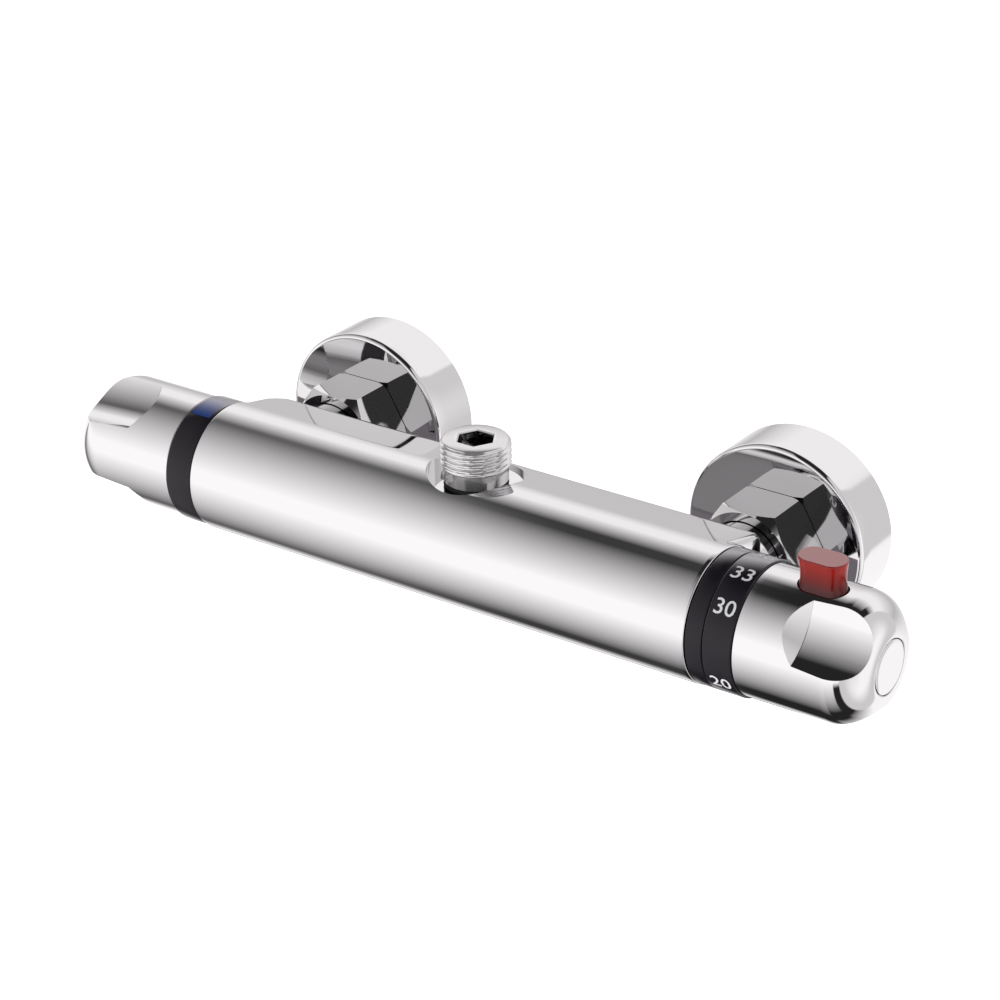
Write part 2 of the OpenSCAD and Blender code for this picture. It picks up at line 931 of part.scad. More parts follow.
// Hexagon nut with chamfered ends, held on the tail by its shoulder
module union_nut(side) {
    corner_r = nut_af / 2 / cos(30);
    edge = corner_r - nut_af / 2;
    color("gainsboro")
    on_inlet(side, nut_front)
    difference() {
        intersection() {
            cylinder(r = corner_r, h = nut_len, $fn = 6);
            rotate_extrude()
            polygon([
                [0, 0],
                [nut_af / 2 - 0.2, 0],
                [corner_r + 0.2, edge],
                [corner_r + 0.2, nut_len - edge / 2],
                [nut_af / 2 + edge / 2, nut_len],
                [0, nut_len],
            ]);
        }
        translate([0, 0, -1]) cylinder(r = tail_r + 0.3, h = nut_len + 2);
        translate([0, 0, nut_shoulder]) cylinder(r = nut_thread_r, h = nut_len);
    }
}

module hot_union_nut() {
    union_nut(-1);
}

module cold_union_nut() {
    union_nut(1);
}

module nut_retaining_rings() {
    color("darkgray")
    for (side = [-1, 1])
        on_inlet(side, clip_at + clip_w)
        difference() {
            tube(clip_r, clip_inner_r + snug, 0.05, clip_w - 0.05);
            translate([0, -2, -1]) cube([20, 4, 4]);
        }
}

module inlet_seals() {
    color("black")
    for (side = [-1, 1])
        on_inlet(side, tail_end)
        tube(tail_r, check_bore_r + 0.6, 0, seal_h);
}

module inlet_strainers() {
    color("lightgray")
    for (side = [-1, 1])
        on_inlet(side, tail_end)
        difference() {
            rod(check_bore_r + 0.5, 0.05, 0.55);
            for (ring = [1:3])
                for (a = [0:60 / ring:359])
                    rotate([0, 0, a])
                    translate([2.4 * ring, 0, 0])
                    rod(0.7, -1, 2);
        }
}

// Check valve: its length runs from the end of the bore to just inside the tail
check_len = check_end - tail_end - 0.1;
check_r = check_bore_r - fit;
check_seat = 2;
poppet_r = check_r - 2.8;
guide_r = 1.3;
check_spring_r = 2.6;
check_wire = 0.3;
check_web = 1.5;

module check_valve(side) {
    color("ivory")
    on_inlet(side, check_end)
    difference() {
        rod(check_r, 0, check_len);
        rod(check_r - 1.6, check_web, check_len - check_seat);
        rod(poppet_r - 1, check_web, check_len + 1);
        rod(guide_r, -1, check_web + 1);
        for (a = [0:90:270])
            rotate([0, 0, a])
            translate([poppet_r - 1.6, 0, 0])
            rod(1.5, -1, check_web + 1);
        tube(check_r + 1, check_r - 1, 6, 8);
    }
}

module hot_check_valve() {
    check_valve(-1);
}

module cold_check_valve() {
    check_valve(1);
}

module check_poppet(side) {
    face = check_len - check_seat - 0.1;
    color("ivory")
    on_inlet(side, check_end)
    union() {
        rod(poppet_r, face - 1.8, face);
        rod(guide_r - fit, 0.2, face - 1);
    }
}

module hot_check_poppet() {
    check_poppet(-1);
}

module cold_check_poppet() {
    check_poppet(1);
}

module check_spring(side) {
    face = check_len - check_seat - 0.1;
    color("lightsteelblue")
    on_inlet(side, check_end)
    coil_spring(check_spring_r, check_wire, check_web + fit, face - 1.9, 4);
}

module hot_check_spring() {
    check_spring(-1);
}

module cold_check_spring() {
    check_spring(1);
}

module check_valve_o_rings() {
    color("black")
    for (side = [-1, 1])
        on_inlet(side, check_end)
        o_ring(check_bore_r - 0.55, 0.5, 7);
}

// Draws a child round the axis of a wall inlet, with Z pointing into the wall from its face
module on_wall_inlet(side) {
    translate([side * inlet_pitch / 2, 0, 0])
    rotate([-90, 0, 0])
    children();
}

// Connector whose valve end and wall end lie on two parallel axes
module eccentric(side) {
    color("silver")
    difference() {
        union() {
            on_inlet(side, ecc_end) cylinder(r = three_quarter_r, h = ecc_end - ecc_shoulder);
            on_wall_inlet(side) rod(half_inch_r - thread_relief, -ecc_wall_start, 1);
            on_wall_inlet(side) rod(half_inch_r, 0, wall_thread_len);
        }
        on_inlet(side, ecc_end + 1) cylinder(r = ecc_bore_r, h = ecc_end - ecc_shoulder - 1);
        on_wall_inlet(side) rod(wall_bore_r, -ecc_wall_start, wall_thread_len + 1);
    }
}

module hot_eccentric() {
    eccentric(-1);
}

module cold_eccentric() {
    eccentric(1);
}

// Cup-shaped wall plate with a rounded front edge
plate_edge = 1.4;

module wall_plate(side) {
    color("gainsboro")
    on_inlet(side, plate_depth)
    difference() {
        rotate_extrude()
        difference() {
            square([plate_r, plate_depth]);
            translate([plate_r - plate_edge, plate_edge])
            difference() {
                translate([0, -plate_edge - 1]) square([plate_edge + 1, plate_edge + 1]);
                circle(r = plate_edge);
            }
        }
        rod(plate_r - plate_wall, plate_wall, plate_depth + 1);
        rod(three_quarter_r + 0.16, -1, plate_wall + 1);
    }
}

module hot_wall_plate() {
    wall_plate(-1);
}

module cold_wall_plate() {
    wall_plate(1);
}

valve_body();
outlet_nipple();
outlet_o_ring();
cartridge_housing();
cartridge_o_rings();
cartridge_retainer();
adjusting_spindle();
spindle_o_ring();
adjusting_nut();
overload_spring();
wax_element();
mixing_piston();
return_spring();
stop_ring();
scale_ring();
temperature_handle();
temperature_insert();
temperature_screw();
temperature_end_disc();
safety_button();
button_spring();
flow_ring();
flow_mark();
headwork_body();
headwork_o_ring();
headwork_seal();
fixed_ceramic_disc();
turning_ceramic_disc();
flow_spindle();
flow_spindle_o_ring();
flow_spindle_clip();
flow_handle();
flow_insert();
flow_screw();
flow_end_disc();
hot_union_nut();
cold_union_nut();
nut_retaining_rings();
inlet_seals();
inlet_strainers();
hot_check_valve();
cold_check_valve();
hot_check_poppet();
cold_check_poppet();
hot_check_spring();
cold_check_spring();
check_valve_o_rings();
hot_eccentric();
cold_eccentric();
hot_wall_plate();
cold_wall_plate();
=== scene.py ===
import math

import bpy
from mathutils import Matrix, Vector


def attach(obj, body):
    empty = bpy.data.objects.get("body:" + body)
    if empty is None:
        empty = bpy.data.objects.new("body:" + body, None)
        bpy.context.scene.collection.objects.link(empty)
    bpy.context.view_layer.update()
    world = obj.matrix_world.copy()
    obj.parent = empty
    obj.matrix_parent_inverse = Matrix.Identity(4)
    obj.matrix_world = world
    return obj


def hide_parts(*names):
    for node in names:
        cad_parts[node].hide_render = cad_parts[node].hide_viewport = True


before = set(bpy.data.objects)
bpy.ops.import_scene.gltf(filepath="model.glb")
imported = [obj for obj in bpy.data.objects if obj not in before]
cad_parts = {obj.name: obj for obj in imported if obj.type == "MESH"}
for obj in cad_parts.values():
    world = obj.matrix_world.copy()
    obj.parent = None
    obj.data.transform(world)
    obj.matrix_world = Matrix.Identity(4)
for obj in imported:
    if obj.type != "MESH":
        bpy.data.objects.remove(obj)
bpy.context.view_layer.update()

# Photographer's table
# The valve is shot from above and from its right front with a long lens, over a white sweep.
# The white sweep fades into the background, so the chrome is what carries the picture.
MM = 0.001
LENS_MM = 102.70
SENSOR_WIDE = 36
PHOTO_WIDE = 1000
LENS_CENTRE_X, LENS_CENTRE_Y = 466.65, 536.73
CAMERA_DISTANCE = 832.93 * MM
AIM_POINT = Vector((0, -65.92, 6)) * MM
VIEW_AZIMUTH = math.radians(36.79)
VIEW_ELEVATION = math.radians(26.73)
VIEW_ROLL = math.radians(-1.49)
SWEEP_WIDE, SWEEP_HEIGHT = 6, -0.22

forward = Vector((
    -math.sin(VIEW_AZIMUTH) * math.cos(VIEW_ELEVATION),
    math.cos(VIEW_AZIMUTH) * math.cos(VIEW_ELEVATION),
    -math.sin(VIEW_ELEVATION),
))
level_right = Vector((math.cos(VIEW_AZIMUTH), math.sin(VIEW_AZIMUTH), 0))
level_up = level_right.cross(forward)
camera_right = level_right * math.cos(VIEW_ROLL) + level_up * math.sin(VIEW_ROLL)
camera_up = level_up * math.cos(VIEW_ROLL) - level_right * math.sin(VIEW_ROLL)
camera_data = bpy.data.cameras.new("Product camera")
camera_data.lens = LENS_MM
camera_data.sensor_width = SENSOR_WIDE
camera_data.sensor_fit = "HORIZONTAL"
camera_data.shift_x = (PHOTO_WIDE / 2 - LENS_CENTRE_X) / PHOTO_WIDE
camera_data.shift_y = (LENS_CENTRE_Y - PHOTO_WIDE / 2) / PHOTO_WIDE
camera_data.clip_start = 0.01
camera = bpy.data.objects.new("Product camera", camera_data)
turn = Matrix((camera_right, camera_up, -forward)).transposed().to_4x4()
camera.matrix_world = Matrix.Translation(AIM_POINT - forward * CAMERA_DISTANCE) @ turn
bpy.context.scene.collection.objects.link(camera)
bpy.context.scene.camera = camera
bpy.context.scene.view_settings.view_transform = "Standard"


def deselect():
    """Leaves nothing selected, so that the next operator acts on one piece alone."""
    bpy.ops.object.select_all(action="DESELECT")


def paint(name, color, metallic=0.0, roughness=0.4):
    """A new material with its node tree, shader and object coordinates ready to wire up."""
    finish = bpy.data.materials.new(name)
    finish.use_nodes = True
    nodes = finish.node_tree.nodes
    shader = nodes["Principled BSDF"]
    shader.inputs["Base Color"].default_value = (*color, 1)
    shader.inputs["Metallic"].default_value = metallic
    shader.inputs["Roughness"].default_value = roughness
    coordinates = nodes.new("ShaderNodeTexCoord")
    return finish, nodes, finish.node_tree.links, shader, coordinates.outputs["Object"]


def feed(links, socket, value):
    """Gives a node's input a number or a colour, or wires it to another node's output."""
    if isinstance(value, tuple):
        socket.default_value = (*value, 1)
    elif isinstance(value, (int, float)):
        socket.default_value = value
    else:
        links.new(value, socket)


def stretched(nodes, links, value, come, go, smooth=False):
    """Maps a value from one pair of limits to another, and holds it at the limits."""
    node = nodes.new("ShaderNodeMapRange")
    node.interpolation_type = "SMOOTHSTEP" if smooth else "LINEAR"
    for name, setting in zip(("Value", "From Min", "From Max", "To Min", "To Max"), (value, *come, *go)):
        feed(links, node.inputs[name], setting)
    return node.outputs["Result"]


def patches(nodes, links, place, scale):
    """Soft patches over a piece, from 0 to 1."""
    noise = nodes.new("ShaderNodeTexNoise")
    noise.inputs["Scale"].default_value = scale
    links.new(place, noise.inputs["Vector"])
    return noise.outputs["Fac"]


sweep_white, nodes, links, shader, place = paint("Sweep white", (0.93, 0.93, 0.93), 0.0, 0.9)
paper_tone = stretched(nodes, links, patches(nodes, links, place, 3.0), (0, 1), (0.93, 0.96))
links.new(paper_tone, shader.inputs["Base Color"])
shader.inputs["Emission Color"].default_value = (1, 1, 1, 1)
shader.inputs["Emission Strength"].default_value = 0.8

deselect()
bpy.ops.mesh.primitive_plane_add(size=SWEEP_WIDE, location=(0, 0, SWEEP_HEIGHT))
sweep = bpy.context.object
sweep.name = "White_sweep"
sweep.data.materials.append(sweep_white)
sweep.visible_glossy = False

# Studio light
# Two long soft boxes run along the bar, one in front and one above its back, over a pale floor. Dark gaps part
# them and widen to the right, where plain panels close the set. A faintly glowing dark card between the bar
# and the wall plates, seen only in the chrome, puts a painted dark reflection there for the shade in that gap.
# Angles go round the bar (0 front, 90 up), and a tone is what polished chrome shows there.
FRONT_BOX, FRONT_TONE = (-20, 5), 250
BACK_BOX, BACK_TONE = (135, 150), 235
FLOOR, FLOOR_TONE = (-150, -130), 245
WALL_TONE = 180
SIDE_PANEL_TONE = 200
END_PANEL_LOW_TONE, END_PANEL_HIGH_TONE = 245, 180


def boxes_and_gaps(low_gap, high_gap, gap_tone):
    """Lists the tones round the bar, from the wall under it, over floor, front and back, to the wall again."""
    spans = ((FLOOR, FLOOR_TONE), (low_gap, gap_tone), (FRONT_BOX, FRONT_TONE), (high_gap, gap_tone),
             (BACK_BOX, BACK_TONE))
    return ((-180, WALL_TONE), *((at, tone) for span, tone in spans for at in span), (180, WALL_TONE))


# Each slice: where it fades in, from left -1 to right 1, and its tones round the bar
SLICES = (
    (-1.0, -0.9, boxes_and_gaps((-105, -100), (100, 105), 95)),
    (-0.58, -0.5, boxes_and_gaps((-105, -92), (90, 103), 60)),
    (-0.47, -0.43, boxes_and_gaps((-112, -90), (85, 115), 40)),
    (-0.2, -0.15, boxes_and_gaps((-100, -80), (40, 110), 40)),
    (0.2, 0.25, boxes_and_gaps((-95, -30), (40, 120), 40)),
    (0.45, 0.5, ((-180, SIDE_PANEL_TONE), (180, SIDE_PANEL_TONE))),
    (0.6, 0.85, ((-180, END_PANEL_LOW_TONE), (-90, END_PANEL_LOW_TONE), (90, END_PANEL_HIGH_TONE),
                 (180, END_PANEL_LOW_TONE))),
)
CHROME_SHOWS = 0.90
LIGHT_TINT = (1.01, 0.985, 1)
# What a second mirroring leaves of the light: to the front, from left 0 to right 1, and to the back
FRONT_SEEN_AGAIN = ((0.35, 0.66), (0.47, 0.25), (0.66, 0.20), (0.71, 0.05), (0.88, 0.05), (0.93, 0.66))
BACK_SEEN_AGAIN_LOW, BACK_SEEN_AGAIN_HIGH = 0.22, 0.80
KEY_LIGHT_AT, KEY_LIGHT_AIM = Vector((0.5, -0.9, 1.3)), Vector((-0.5, 0.85, -1.3))
# Painted shade card: where the dark sheet that only the chrome sees hangs, and its size
SHADE_CARD_X, SHADE_CARD_Y, SHADE_CARD_Z = -20, -41, -28
SHADE_CARD_WIDE, SHADE_CARD_TALL = 230, 44

studio = bpy.data.worlds.new("Photo studio")
bpy.context.scene.world = studio
studio.use_nodes = True
nodes, links = studio.node_tree.nodes, studio.node_tree.links
axes = nodes.new("ShaderNodeSeparateXYZ")
links.new(nodes.new("ShaderNodeTexCoord").outputs["Generated"], axes.inputs[0])


def world_math(operation, *values):
    """One math node of the studio light, fed by sockets or numbers."""
    node = nodes.new("ShaderNodeMath")
    node.operation = operation
    for socket, value in zip(node.inputs, values):
        feed(links, socket, value)
    return node.outputs[0]


def mixed(nodes, links, share, first, second):
    """Blends two colours by a share, each a fixed tone or another node's output."""
    node = nodes.new("ShaderNodeMix")
    node.data_type = "RGBA"
    for socket, value in ((0, share), (6, first), (7, second)):
        feed(links, node.inputs[socket], value)
    return node.outputs[2]


def light_ramp(along, stops):
    """A ramp of the studio light through (place, colour) stops, read at a number from 0 to 1."""
    ramp = nodes.new("ShaderNodeValToRGB")
    while len(ramp.color_ramp.elements) > 1:
        ramp.color_ramp.elements.remove(ramp.color_ramp.elements[-1])
    for index, (at, color) in enumerate(stops):
        stop = ramp.color_ramp.elements.new(at) if index else ramp.color_ramp.elements[0]
        stop.position = at
        stop.color = (*color, 1)
    links.new(along, ramp.inputs["Fac"])
    return ramp.outputs["Color"]


front = world_math("MULTIPLY", axes.outputs["Y"], -1.0)
angle_round_bar = world_math("ARCTAN2", axes.outputs["Z"], front)
round_bar = world_math("MULTIPLY_ADD", angle_round_bar, 1 / math.tau, 0.5)
along_bar = world_math("MULTIPLY_ADD", axes.outputs["X"], 0.5, 0.5)


def soft_boxes(tones):
    """Soft boxes and gaps of one slice round the bar, as linear light."""
    levels = [((degrees + 180) / 360, (tone / 255) ** 2.2 / CHROME_SHOWS) for degrees, tone in tones]
    return light_ramp(round_bar, [(at, [level * tint for tint in LIGHT_TINT]) for at, level in levels])


all_round = soft_boxes(SLICES[0][2])
for fades_from, fades_to, tones in SLICES[1:]:
    share = stretched(nodes, links, axes.outputs["X"], (fades_from, fades_to), (0, 1), smooth=True)
    all_round = mixed(nodes, links, share, all_round, soft_boxes(tones))
light_path = nodes.new("ShaderNodeLightPath")
backdrop = mixed(nodes, links, light_path.outputs["Is Camera Ray"], all_round, (1, 1, 1))
links.new(backdrop, nodes["Background"].inputs["Color"])
to_front = light_ramp(along_bar, [(at, [share] * 3) for at, share in FRONT_SEEN_AGAIN])
to_back = stretched(
    nodes, links, axes.outputs["Z"], (-0.1, 0.1), (BACK_SEEN_AGAIN_LOW, BACK_SEEN_AGAIN_HIGH))
seen_again = nodes.new("ShaderNodeMix")
links.new(world_math("LESS_THAN", axes.outputs["Y"], 0.0), seen_again.inputs["Factor"])
links.new(to_back, seen_again.inputs["A"])
links.new(to_front, seen_again.inputs["B"])
second_mirror = stretched(
    nodes, links, light_path.outputs["Glossy Depth"], (1, 2), (1, seen_again.outputs["Result"]))
links.new(second_mirror, nodes["Background"].inputs["Strength"])

bpy.ops.object.light_add(type="AREA", location=KEY_LIGHT_AT)
key_light = bpy.context.object
key_light.name = "Overhead soft box"
key_light.data.size = 1.4
key_light.data.energy = 8
key_light.rotation_euler = KEY_LIGHT_AIM.to_track_quat("-Z", "Y").to_euler()
key_light.visible_glossy = False

# Painted shade: a dark sheet with a faint glow, seen only in the chrome, so that the wall plates mirror the
# shade between them and the bar
shade_card_finish, nodes, links, shader, place = paint("Painted shade card", (0.01, 0.01, 0.01), 0.0, 0.9)
shade_card_glow = stretched(nodes, links, patches(nodes, links, place, 12.0), (0, 1), (0.12, 0.15))
links.new(shade_card_glow, shader.inputs["Emission Strength"])
shader.inputs["Emission Color"].default_value = (1, 0.90, 1, 1)
deselect()
bpy.ops.mesh.primitive_plane_add(size=1)
shade_card = bpy.context.object
shade_card.name = "Painted_shade_card"
for vertex in shade_card.data.vertices:
    vertex.co = Vector((SHADE_CARD_X + vertex.co.x * SHADE_CARD_WIDE, SHADE_CARD_Y, SHADE_CARD_Z + vertex.co.y * SHADE_CARD_TALL)) * MM
shade_card.data.materials.append(shade_card_finish)
shade_card.visible_camera = False
shade_card.visible_diffuse = False
shade_card.visible_shadow = False

# Valve body
# A brass casting, turned, polished and chromed: a 40 mm bar, and a squarer housing behind it for the two
# galleries. Two short tails at the rear take the union nuts. A round pocket on top holds the outlet.
BAR_TO_WALL, BAR_HEIGHT = 66, 6
BAR_R, BAR_LEFT, BAR_RIGHT, BAR_EDGE = 20, -89.5, 87, 0.4
HUMP_INSET, HUMP_DEPTH = 1.5, 24
HUMP_CORNER, HUMP_CORNER_UP = 4, 11.9
HUMP_LEFT_ROUND, HUMP_RIGHT_ROUND = 10, 1.6
ROUND_BLEND = 4.0
HEADWORK_BORE_R, HEADWORK_BORE_END = 10.5, -60
HEADWORK_SEAT_R, HEADWORK_SEAT_X = 11.5, -78.5
CARTRIDGE_BORE_R, CARTRIDGE_BORE_END = 14, 38
CARTRIDGE_SEAT_R, CARTRIDGE_SEAT_X = 16, 79
OUTLET_BACK = 5.5
POCKET_R, POCKET_FLOOR = 14.6, 15
NIPPLE_HOLE_R, NIPPLE_HOLE_END = 8.35, 7
INLET_X = 75
TAIL_R, TAIL_END = 12, 28.2
CHECK_BORE_R, CHECK_BORE_END = 8.5, -43
INLET_BORE_R, INLET_BORE_END = 5, -47.7
BAR_MIDDLE = Matrix.Translation(Vector((0, -BAR_TO_WALL, BAR_HEIGHT)) * MM)
ALONG_BAR = BAR_MIDDLE @ Matrix.Rotation(math.pi / 2, 4, "Y")
ALONG_BAR_LEFT = Matrix.Scale(-1, 4, (1, 0, 0)) @ ALONG_BAR


def towards_wall(side, start=0, height=BAR_HEIGHT):
    """The place of a piece on an inlet's axis, pointing to the wall; side is -1 for hot and 1 for cold."""
    inlet = Matrix.Translation(Vector((side * INLET_X, start, height)) * MM)
    return inlet @ Matrix.Rotation(-math.pi / 2, 4, "X")


def in_edit_mode(piece):
    """Opens one piece for editing with all of it selected."""
    deselect()
    bpy.context.view_layer.objects.active = piece
    piece.select_set(True)
    bpy.ops.object.mode_set(mode="EDIT")
    bpy.ops.mesh.select_all(action="SELECT")


def shaped_grid(rows, columns, point, open_ends=False):
    """A grid, closed round its columns, with its vertices where point(row, column) says, in millimetres."""
    deselect()
    bpy.ops.mesh.primitive_grid_add(x_subdivisions=columns, y_subdivisions=rows - 1, size=2)
    piece = bpy.context.object
    for vertex in piece.data.vertices:
        column = round((vertex.co.x + 1) / 2 * columns)
        row = round((vertex.co.y + 1) / 2 * (rows - 1))
        vertex.co = Vector(point(row, column % columns)) * MM
    in_edit_mode(piece)
    bpy.ops.mesh.remove_doubles(threshold=1e-7)
    if open_ends:
        bpy.ops.mesh.fill_holes(sides=0)
    bpy.ops.mesh.select_all(action="SELECT")
    bpy.ops.mesh.normals_make_consistent(inside=False)
    bpy.ops.object.mode_set(mode="OBJECT")
    return piece


def turned(profile, steps=128):
    """A part off the lathe: a closed outline of (radius, height) in millimetres, spun round Z."""
    deselect()
    bpy.ops.mesh.primitive_circle_add(vertices=len(profile), fill_type="NOTHING")
    piece = bpy.context.object
    for vertex, (radius, height) in zip(piece.data.vertices, profile):
        vertex.co = Vector((radius, 0, height)) * MM
    in_edit_mode(piece)
    bpy.ops.mesh.spin(steps=steps, angle=math.tau, center=(0, 0, 0), axis=(0, 0, 1))
    bpy.ops.mesh.select_all(action="SELECT")
    bpy.ops.mesh.remove_doubles(threshold=1e-7)
    bpy.ops.mesh.dissolve_degenerate(threshold=1e-8)
    bpy.ops.mesh.select_all(action="SELECT")
    bpy.ops.mesh.normals_make_consistent(inside=False)
    bpy.ops.object.mode_set(mode="OBJECT")
    return piece


def fillet(centre, radius, start, end, steps=8):
    """Points of a rounded corner, in millimetres, from one angle to another."""
    return [(
        centre[0] + radius * math.cos(math.radians(start + (end - start) * k / steps)),
        centre[1] + radius * math.sin(math.radians(start + (end - start) * k / steps)),
    ) for k in range(steps + 1)]


def settle(piece, *moves):
    """Puts a piece in its place and writes the place into its mesh."""
    deselect()
    for move in moves:
        piece.matrix_world = move @ piece.matrix_world
    piece.select_set(True)
    bpy.context.view_layer.objects.active = piece
    bpy.ops.object.transform_apply(location=True, rotation=True, scale=True)
    in_edit_mode(piece)
    bpy.ops.mesh.normals_make_consistent(inside=False)
    bpy.ops.object.mode_set(mode="OBJECT")
    return piece


def machine(piece, operation, *tools):
    """Cuts, joins or trims a piece with others, which are used up."""
    for tool in tools:
        step = piece.modifiers.new("Machining", "BOOLEAN")
        step.operation = operation
        step.solver = "EXACT"
        step.object = tool
        deselect()
        bpy.context.view_layer.objects.active = piece
        bpy.ops.object.modifier_apply(modifier=step.name)
        bpy.data.objects.remove(tool)
    return piece


def rod(radius, low, high, sides=96):
    """A plain round tool, up local Z."""
    deselect()
    bpy.ops.mesh.primitive_cylinder_add(
        vertices=sides, radius=radius * MM, depth=(high - low) * MM, location=(0, 0, (low + high) / 2 * MM))
    return settle(bpy.context.object)


def hand_over(piece, name, body, slot, finish, *nodes_replaced, angle=30, true_flats=False):
    """Names a finished piece, gives it its finish, ties it to its body and hides the solids it takes the place
    of.
    """
    piece.name = name
    piece.data.name = name
    piece.data.materials.clear()
    piece.data.materials.append(finish)
    deselect()
    piece.select_set(True)
    bpy.context.view_layer.objects.active = piece
    bpy.ops.object.shade_smooth_by_angle(angle=math.radians(angle))
    if true_flats:
        flats = piece.modifiers.new("True flats", "WEIGHTED_NORMAL")
        flats.mode = "FACE_AREA"
        flats.keep_sharp = True
        bpy.ops.object.modifier_apply(modifier=flats.name)
    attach(piece, body)
    if nodes_replaced:
        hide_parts(*nodes_replaced)


# Handling leaves the faintest haze and hairlines on polished plating
surface_wear = bpy.data.node_groups.new("Surface wear", "ShaderNodeTree")
surface_wear.interface.new_socket("Vector", in_out="INPUT", socket_type="NodeSocketVector")
for wear_input in ("Grain", "Low", "High"):
    surface_wear.interface.new_socket(wear_input, in_out="INPUT", socket_type="NodeSocketFloat")
for wear_output in ("Roughness", "Height"):
    surface_wear.interface.new_socket(wear_output, in_out="OUTPUT", socket_type="NodeSocketFloat")
wear_in = surface_wear.nodes.new("NodeGroupInput")
wear_out = surface_wear.nodes.new("NodeGroupOutput")
wear_haze = surface_wear.nodes.new("ShaderNodeTexNoise")
wear_haze.inputs["Detail"].default_value = 5.0
wear_range = surface_wear.nodes.new("ShaderNodeMapRange")
surface_wear.links.new(wear_in.outputs["Vector"], wear_haze.inputs["Vector"])
surface_wear.links.new(wear_in.outputs["Grain"], wear_haze.inputs["Scale"])
surface_wear.links.new(wear_haze.outputs["Fac"], wear_range.inputs["Value"])
surface_wear.links.new(wear_in.outputs["Low"], wear_range.inputs["To Min"])
surface_wear.links.new(wear_in.outputs["High"], wear_range.inputs["To Max"])
surface_wear.links.new(wear_range.outputs["Result"], wear_out.inputs["Roughness"])
surface_wear.links.new(wear_haze.outputs["Fac"], wear_out.inputs["Height"])


def worn(nodes, links, shader, place, grain, low, high, bump=0.0):
    """Wires the wear group into a finish: how rough it is from place to place, and its faint relief."""
    wear = nodes.new("ShaderNodeGroup")
    wear.node_tree = surface_wear
    wear.inputs["Grain"].default_value = grain
    wear.inputs["Low"].default_value = low
    wear.inputs["High"].default_value = high
    links.new(place, wear.inputs["Vector"])
    links.new(wear.outputs["Roughness"], shader.inputs["Roughness"])
    if bump:
        relief = nodes.new("ShaderNodeBump")
        relief.inputs["Strength"].default_value = bump
        relief.inputs["Distance"].default_value = 0.0001
        links.new(wear.outputs["Height"], relief.inputs["Height"])
        links.new(relief.outputs["Normal"], shader.inputs["Normal"])


chrome, nodes, links, shader, place = paint("Polished chrome", (0.90, 0.895, 0.90), 1.0)
worn(nodes, links, shader, place, 60.0, 0.015, 0.055)

# The housing in section, by angles from straight back: flat rear, rounded corner, straight cover to the bar
corner_back = HUMP_DEPTH - HUMP_CORNER
corner_reach = math.hypot(corner_back, HUMP_CORNER_UP)
cover_lean = math.atan2(corner_back, HUMP_CORNER_UP) - math.acos((BAR_R - HUMP_CORNER) / corner_reach)
rear_corner = math.atan2(HUMP_CORNER_UP, HUMP_DEPTH)
corner_to_cover = math.atan2(
    HUMP_CORNER_UP + HUMP_CORNER * math.cos(cover_lean), corner_back + HUMP_CORNER * math.sin(cover_lean))
cover_ends = math.pi / 2 - cover_lean


def hump_reach(angle, inset):
    """Distance from the bar axis to the housing's skin, for an angle from straight back; inset shrinks it."""
    up = abs(angle)
    if up < rear_corner:
        return (HUMP_DEPTH - inset) / math.cos(up)
    if up < corner_to_cover:
        along = corner_back * math.cos(up) + HUMP_CORNER_UP * math.sin(up)
        short = corner_back ** 2 + HUMP_CORNER_UP ** 2 - (HUMP_CORNER - inset) ** 2
        return along + math.sqrt(max(along ** 2 - short, 0))
    return (BAR_R - inset) / math.sin(up + cover_lean) if up < cover_ends else BAR_R


def body_skin(x, angle):
    """Distance from the bar axis to the casting's skin; the housing's left end is rounded in plan."""
    if x <= BAR_LEFT + HUMP_INSET or x > BAR_RIGHT - HUMP_INSET + 0.001:
        return BAR_R
    right_round = x - (BAR_RIGHT - HUMP_INSET - HUMP_RIGHT_ROUND)
    inset = HUMP_RIGHT_ROUND - math.sqrt(HUMP_RIGHT_ROUND ** 2 - right_round ** 2) if right_round > 0 else 0
    reach = hump_reach(angle, inset)
    left_round = BAR_LEFT + HUMP_INSET + HUMP_LEFT_ROUND - x
    if left_round > -4 and abs(angle) < 1.5:
        round_back = math.sqrt(HUMP_LEFT_ROUND ** 2 - max(left_round, 0) ** 2)
        plan = (HUMP_DEPTH - HUMP_LEFT_ROUND + round_back) / math.cos(angle)
        if plan - reach < 4:
            reach = -math.log(math.exp(-ROUND_BLEND * reach) + math.exp(-ROUND_BLEND * plan)) / ROUND_BLEND
    return max(BAR_R, reach)


half_turn = []
for start, end, steps in (
    (0, rear_corner, 8), (rear_corner, corner_to_cover, 10), (corner_to_cover, cover_ends, 24),
    (cover_ends, math.pi, 72),
):
    half_turn += [start + (end - start) * k / steps for k in range(steps)]
body_angles = half_turn + [math.pi] + [-angle for angle in reversed(half_turn[1:])]
LATHE, SKIN = 0, 1


def bar_edge(end, inward):
    """The rounded edge at one end of the bar, from the bar's skin to its face."""
    return [(end + inward * BAR_EDGE * (1 - math.sin(k * math.pi / 12)),
             BAR_R - BAR_EDGE * (1 - math.cos(k * math.pi / 12)), LATHE) for k in range(7)]


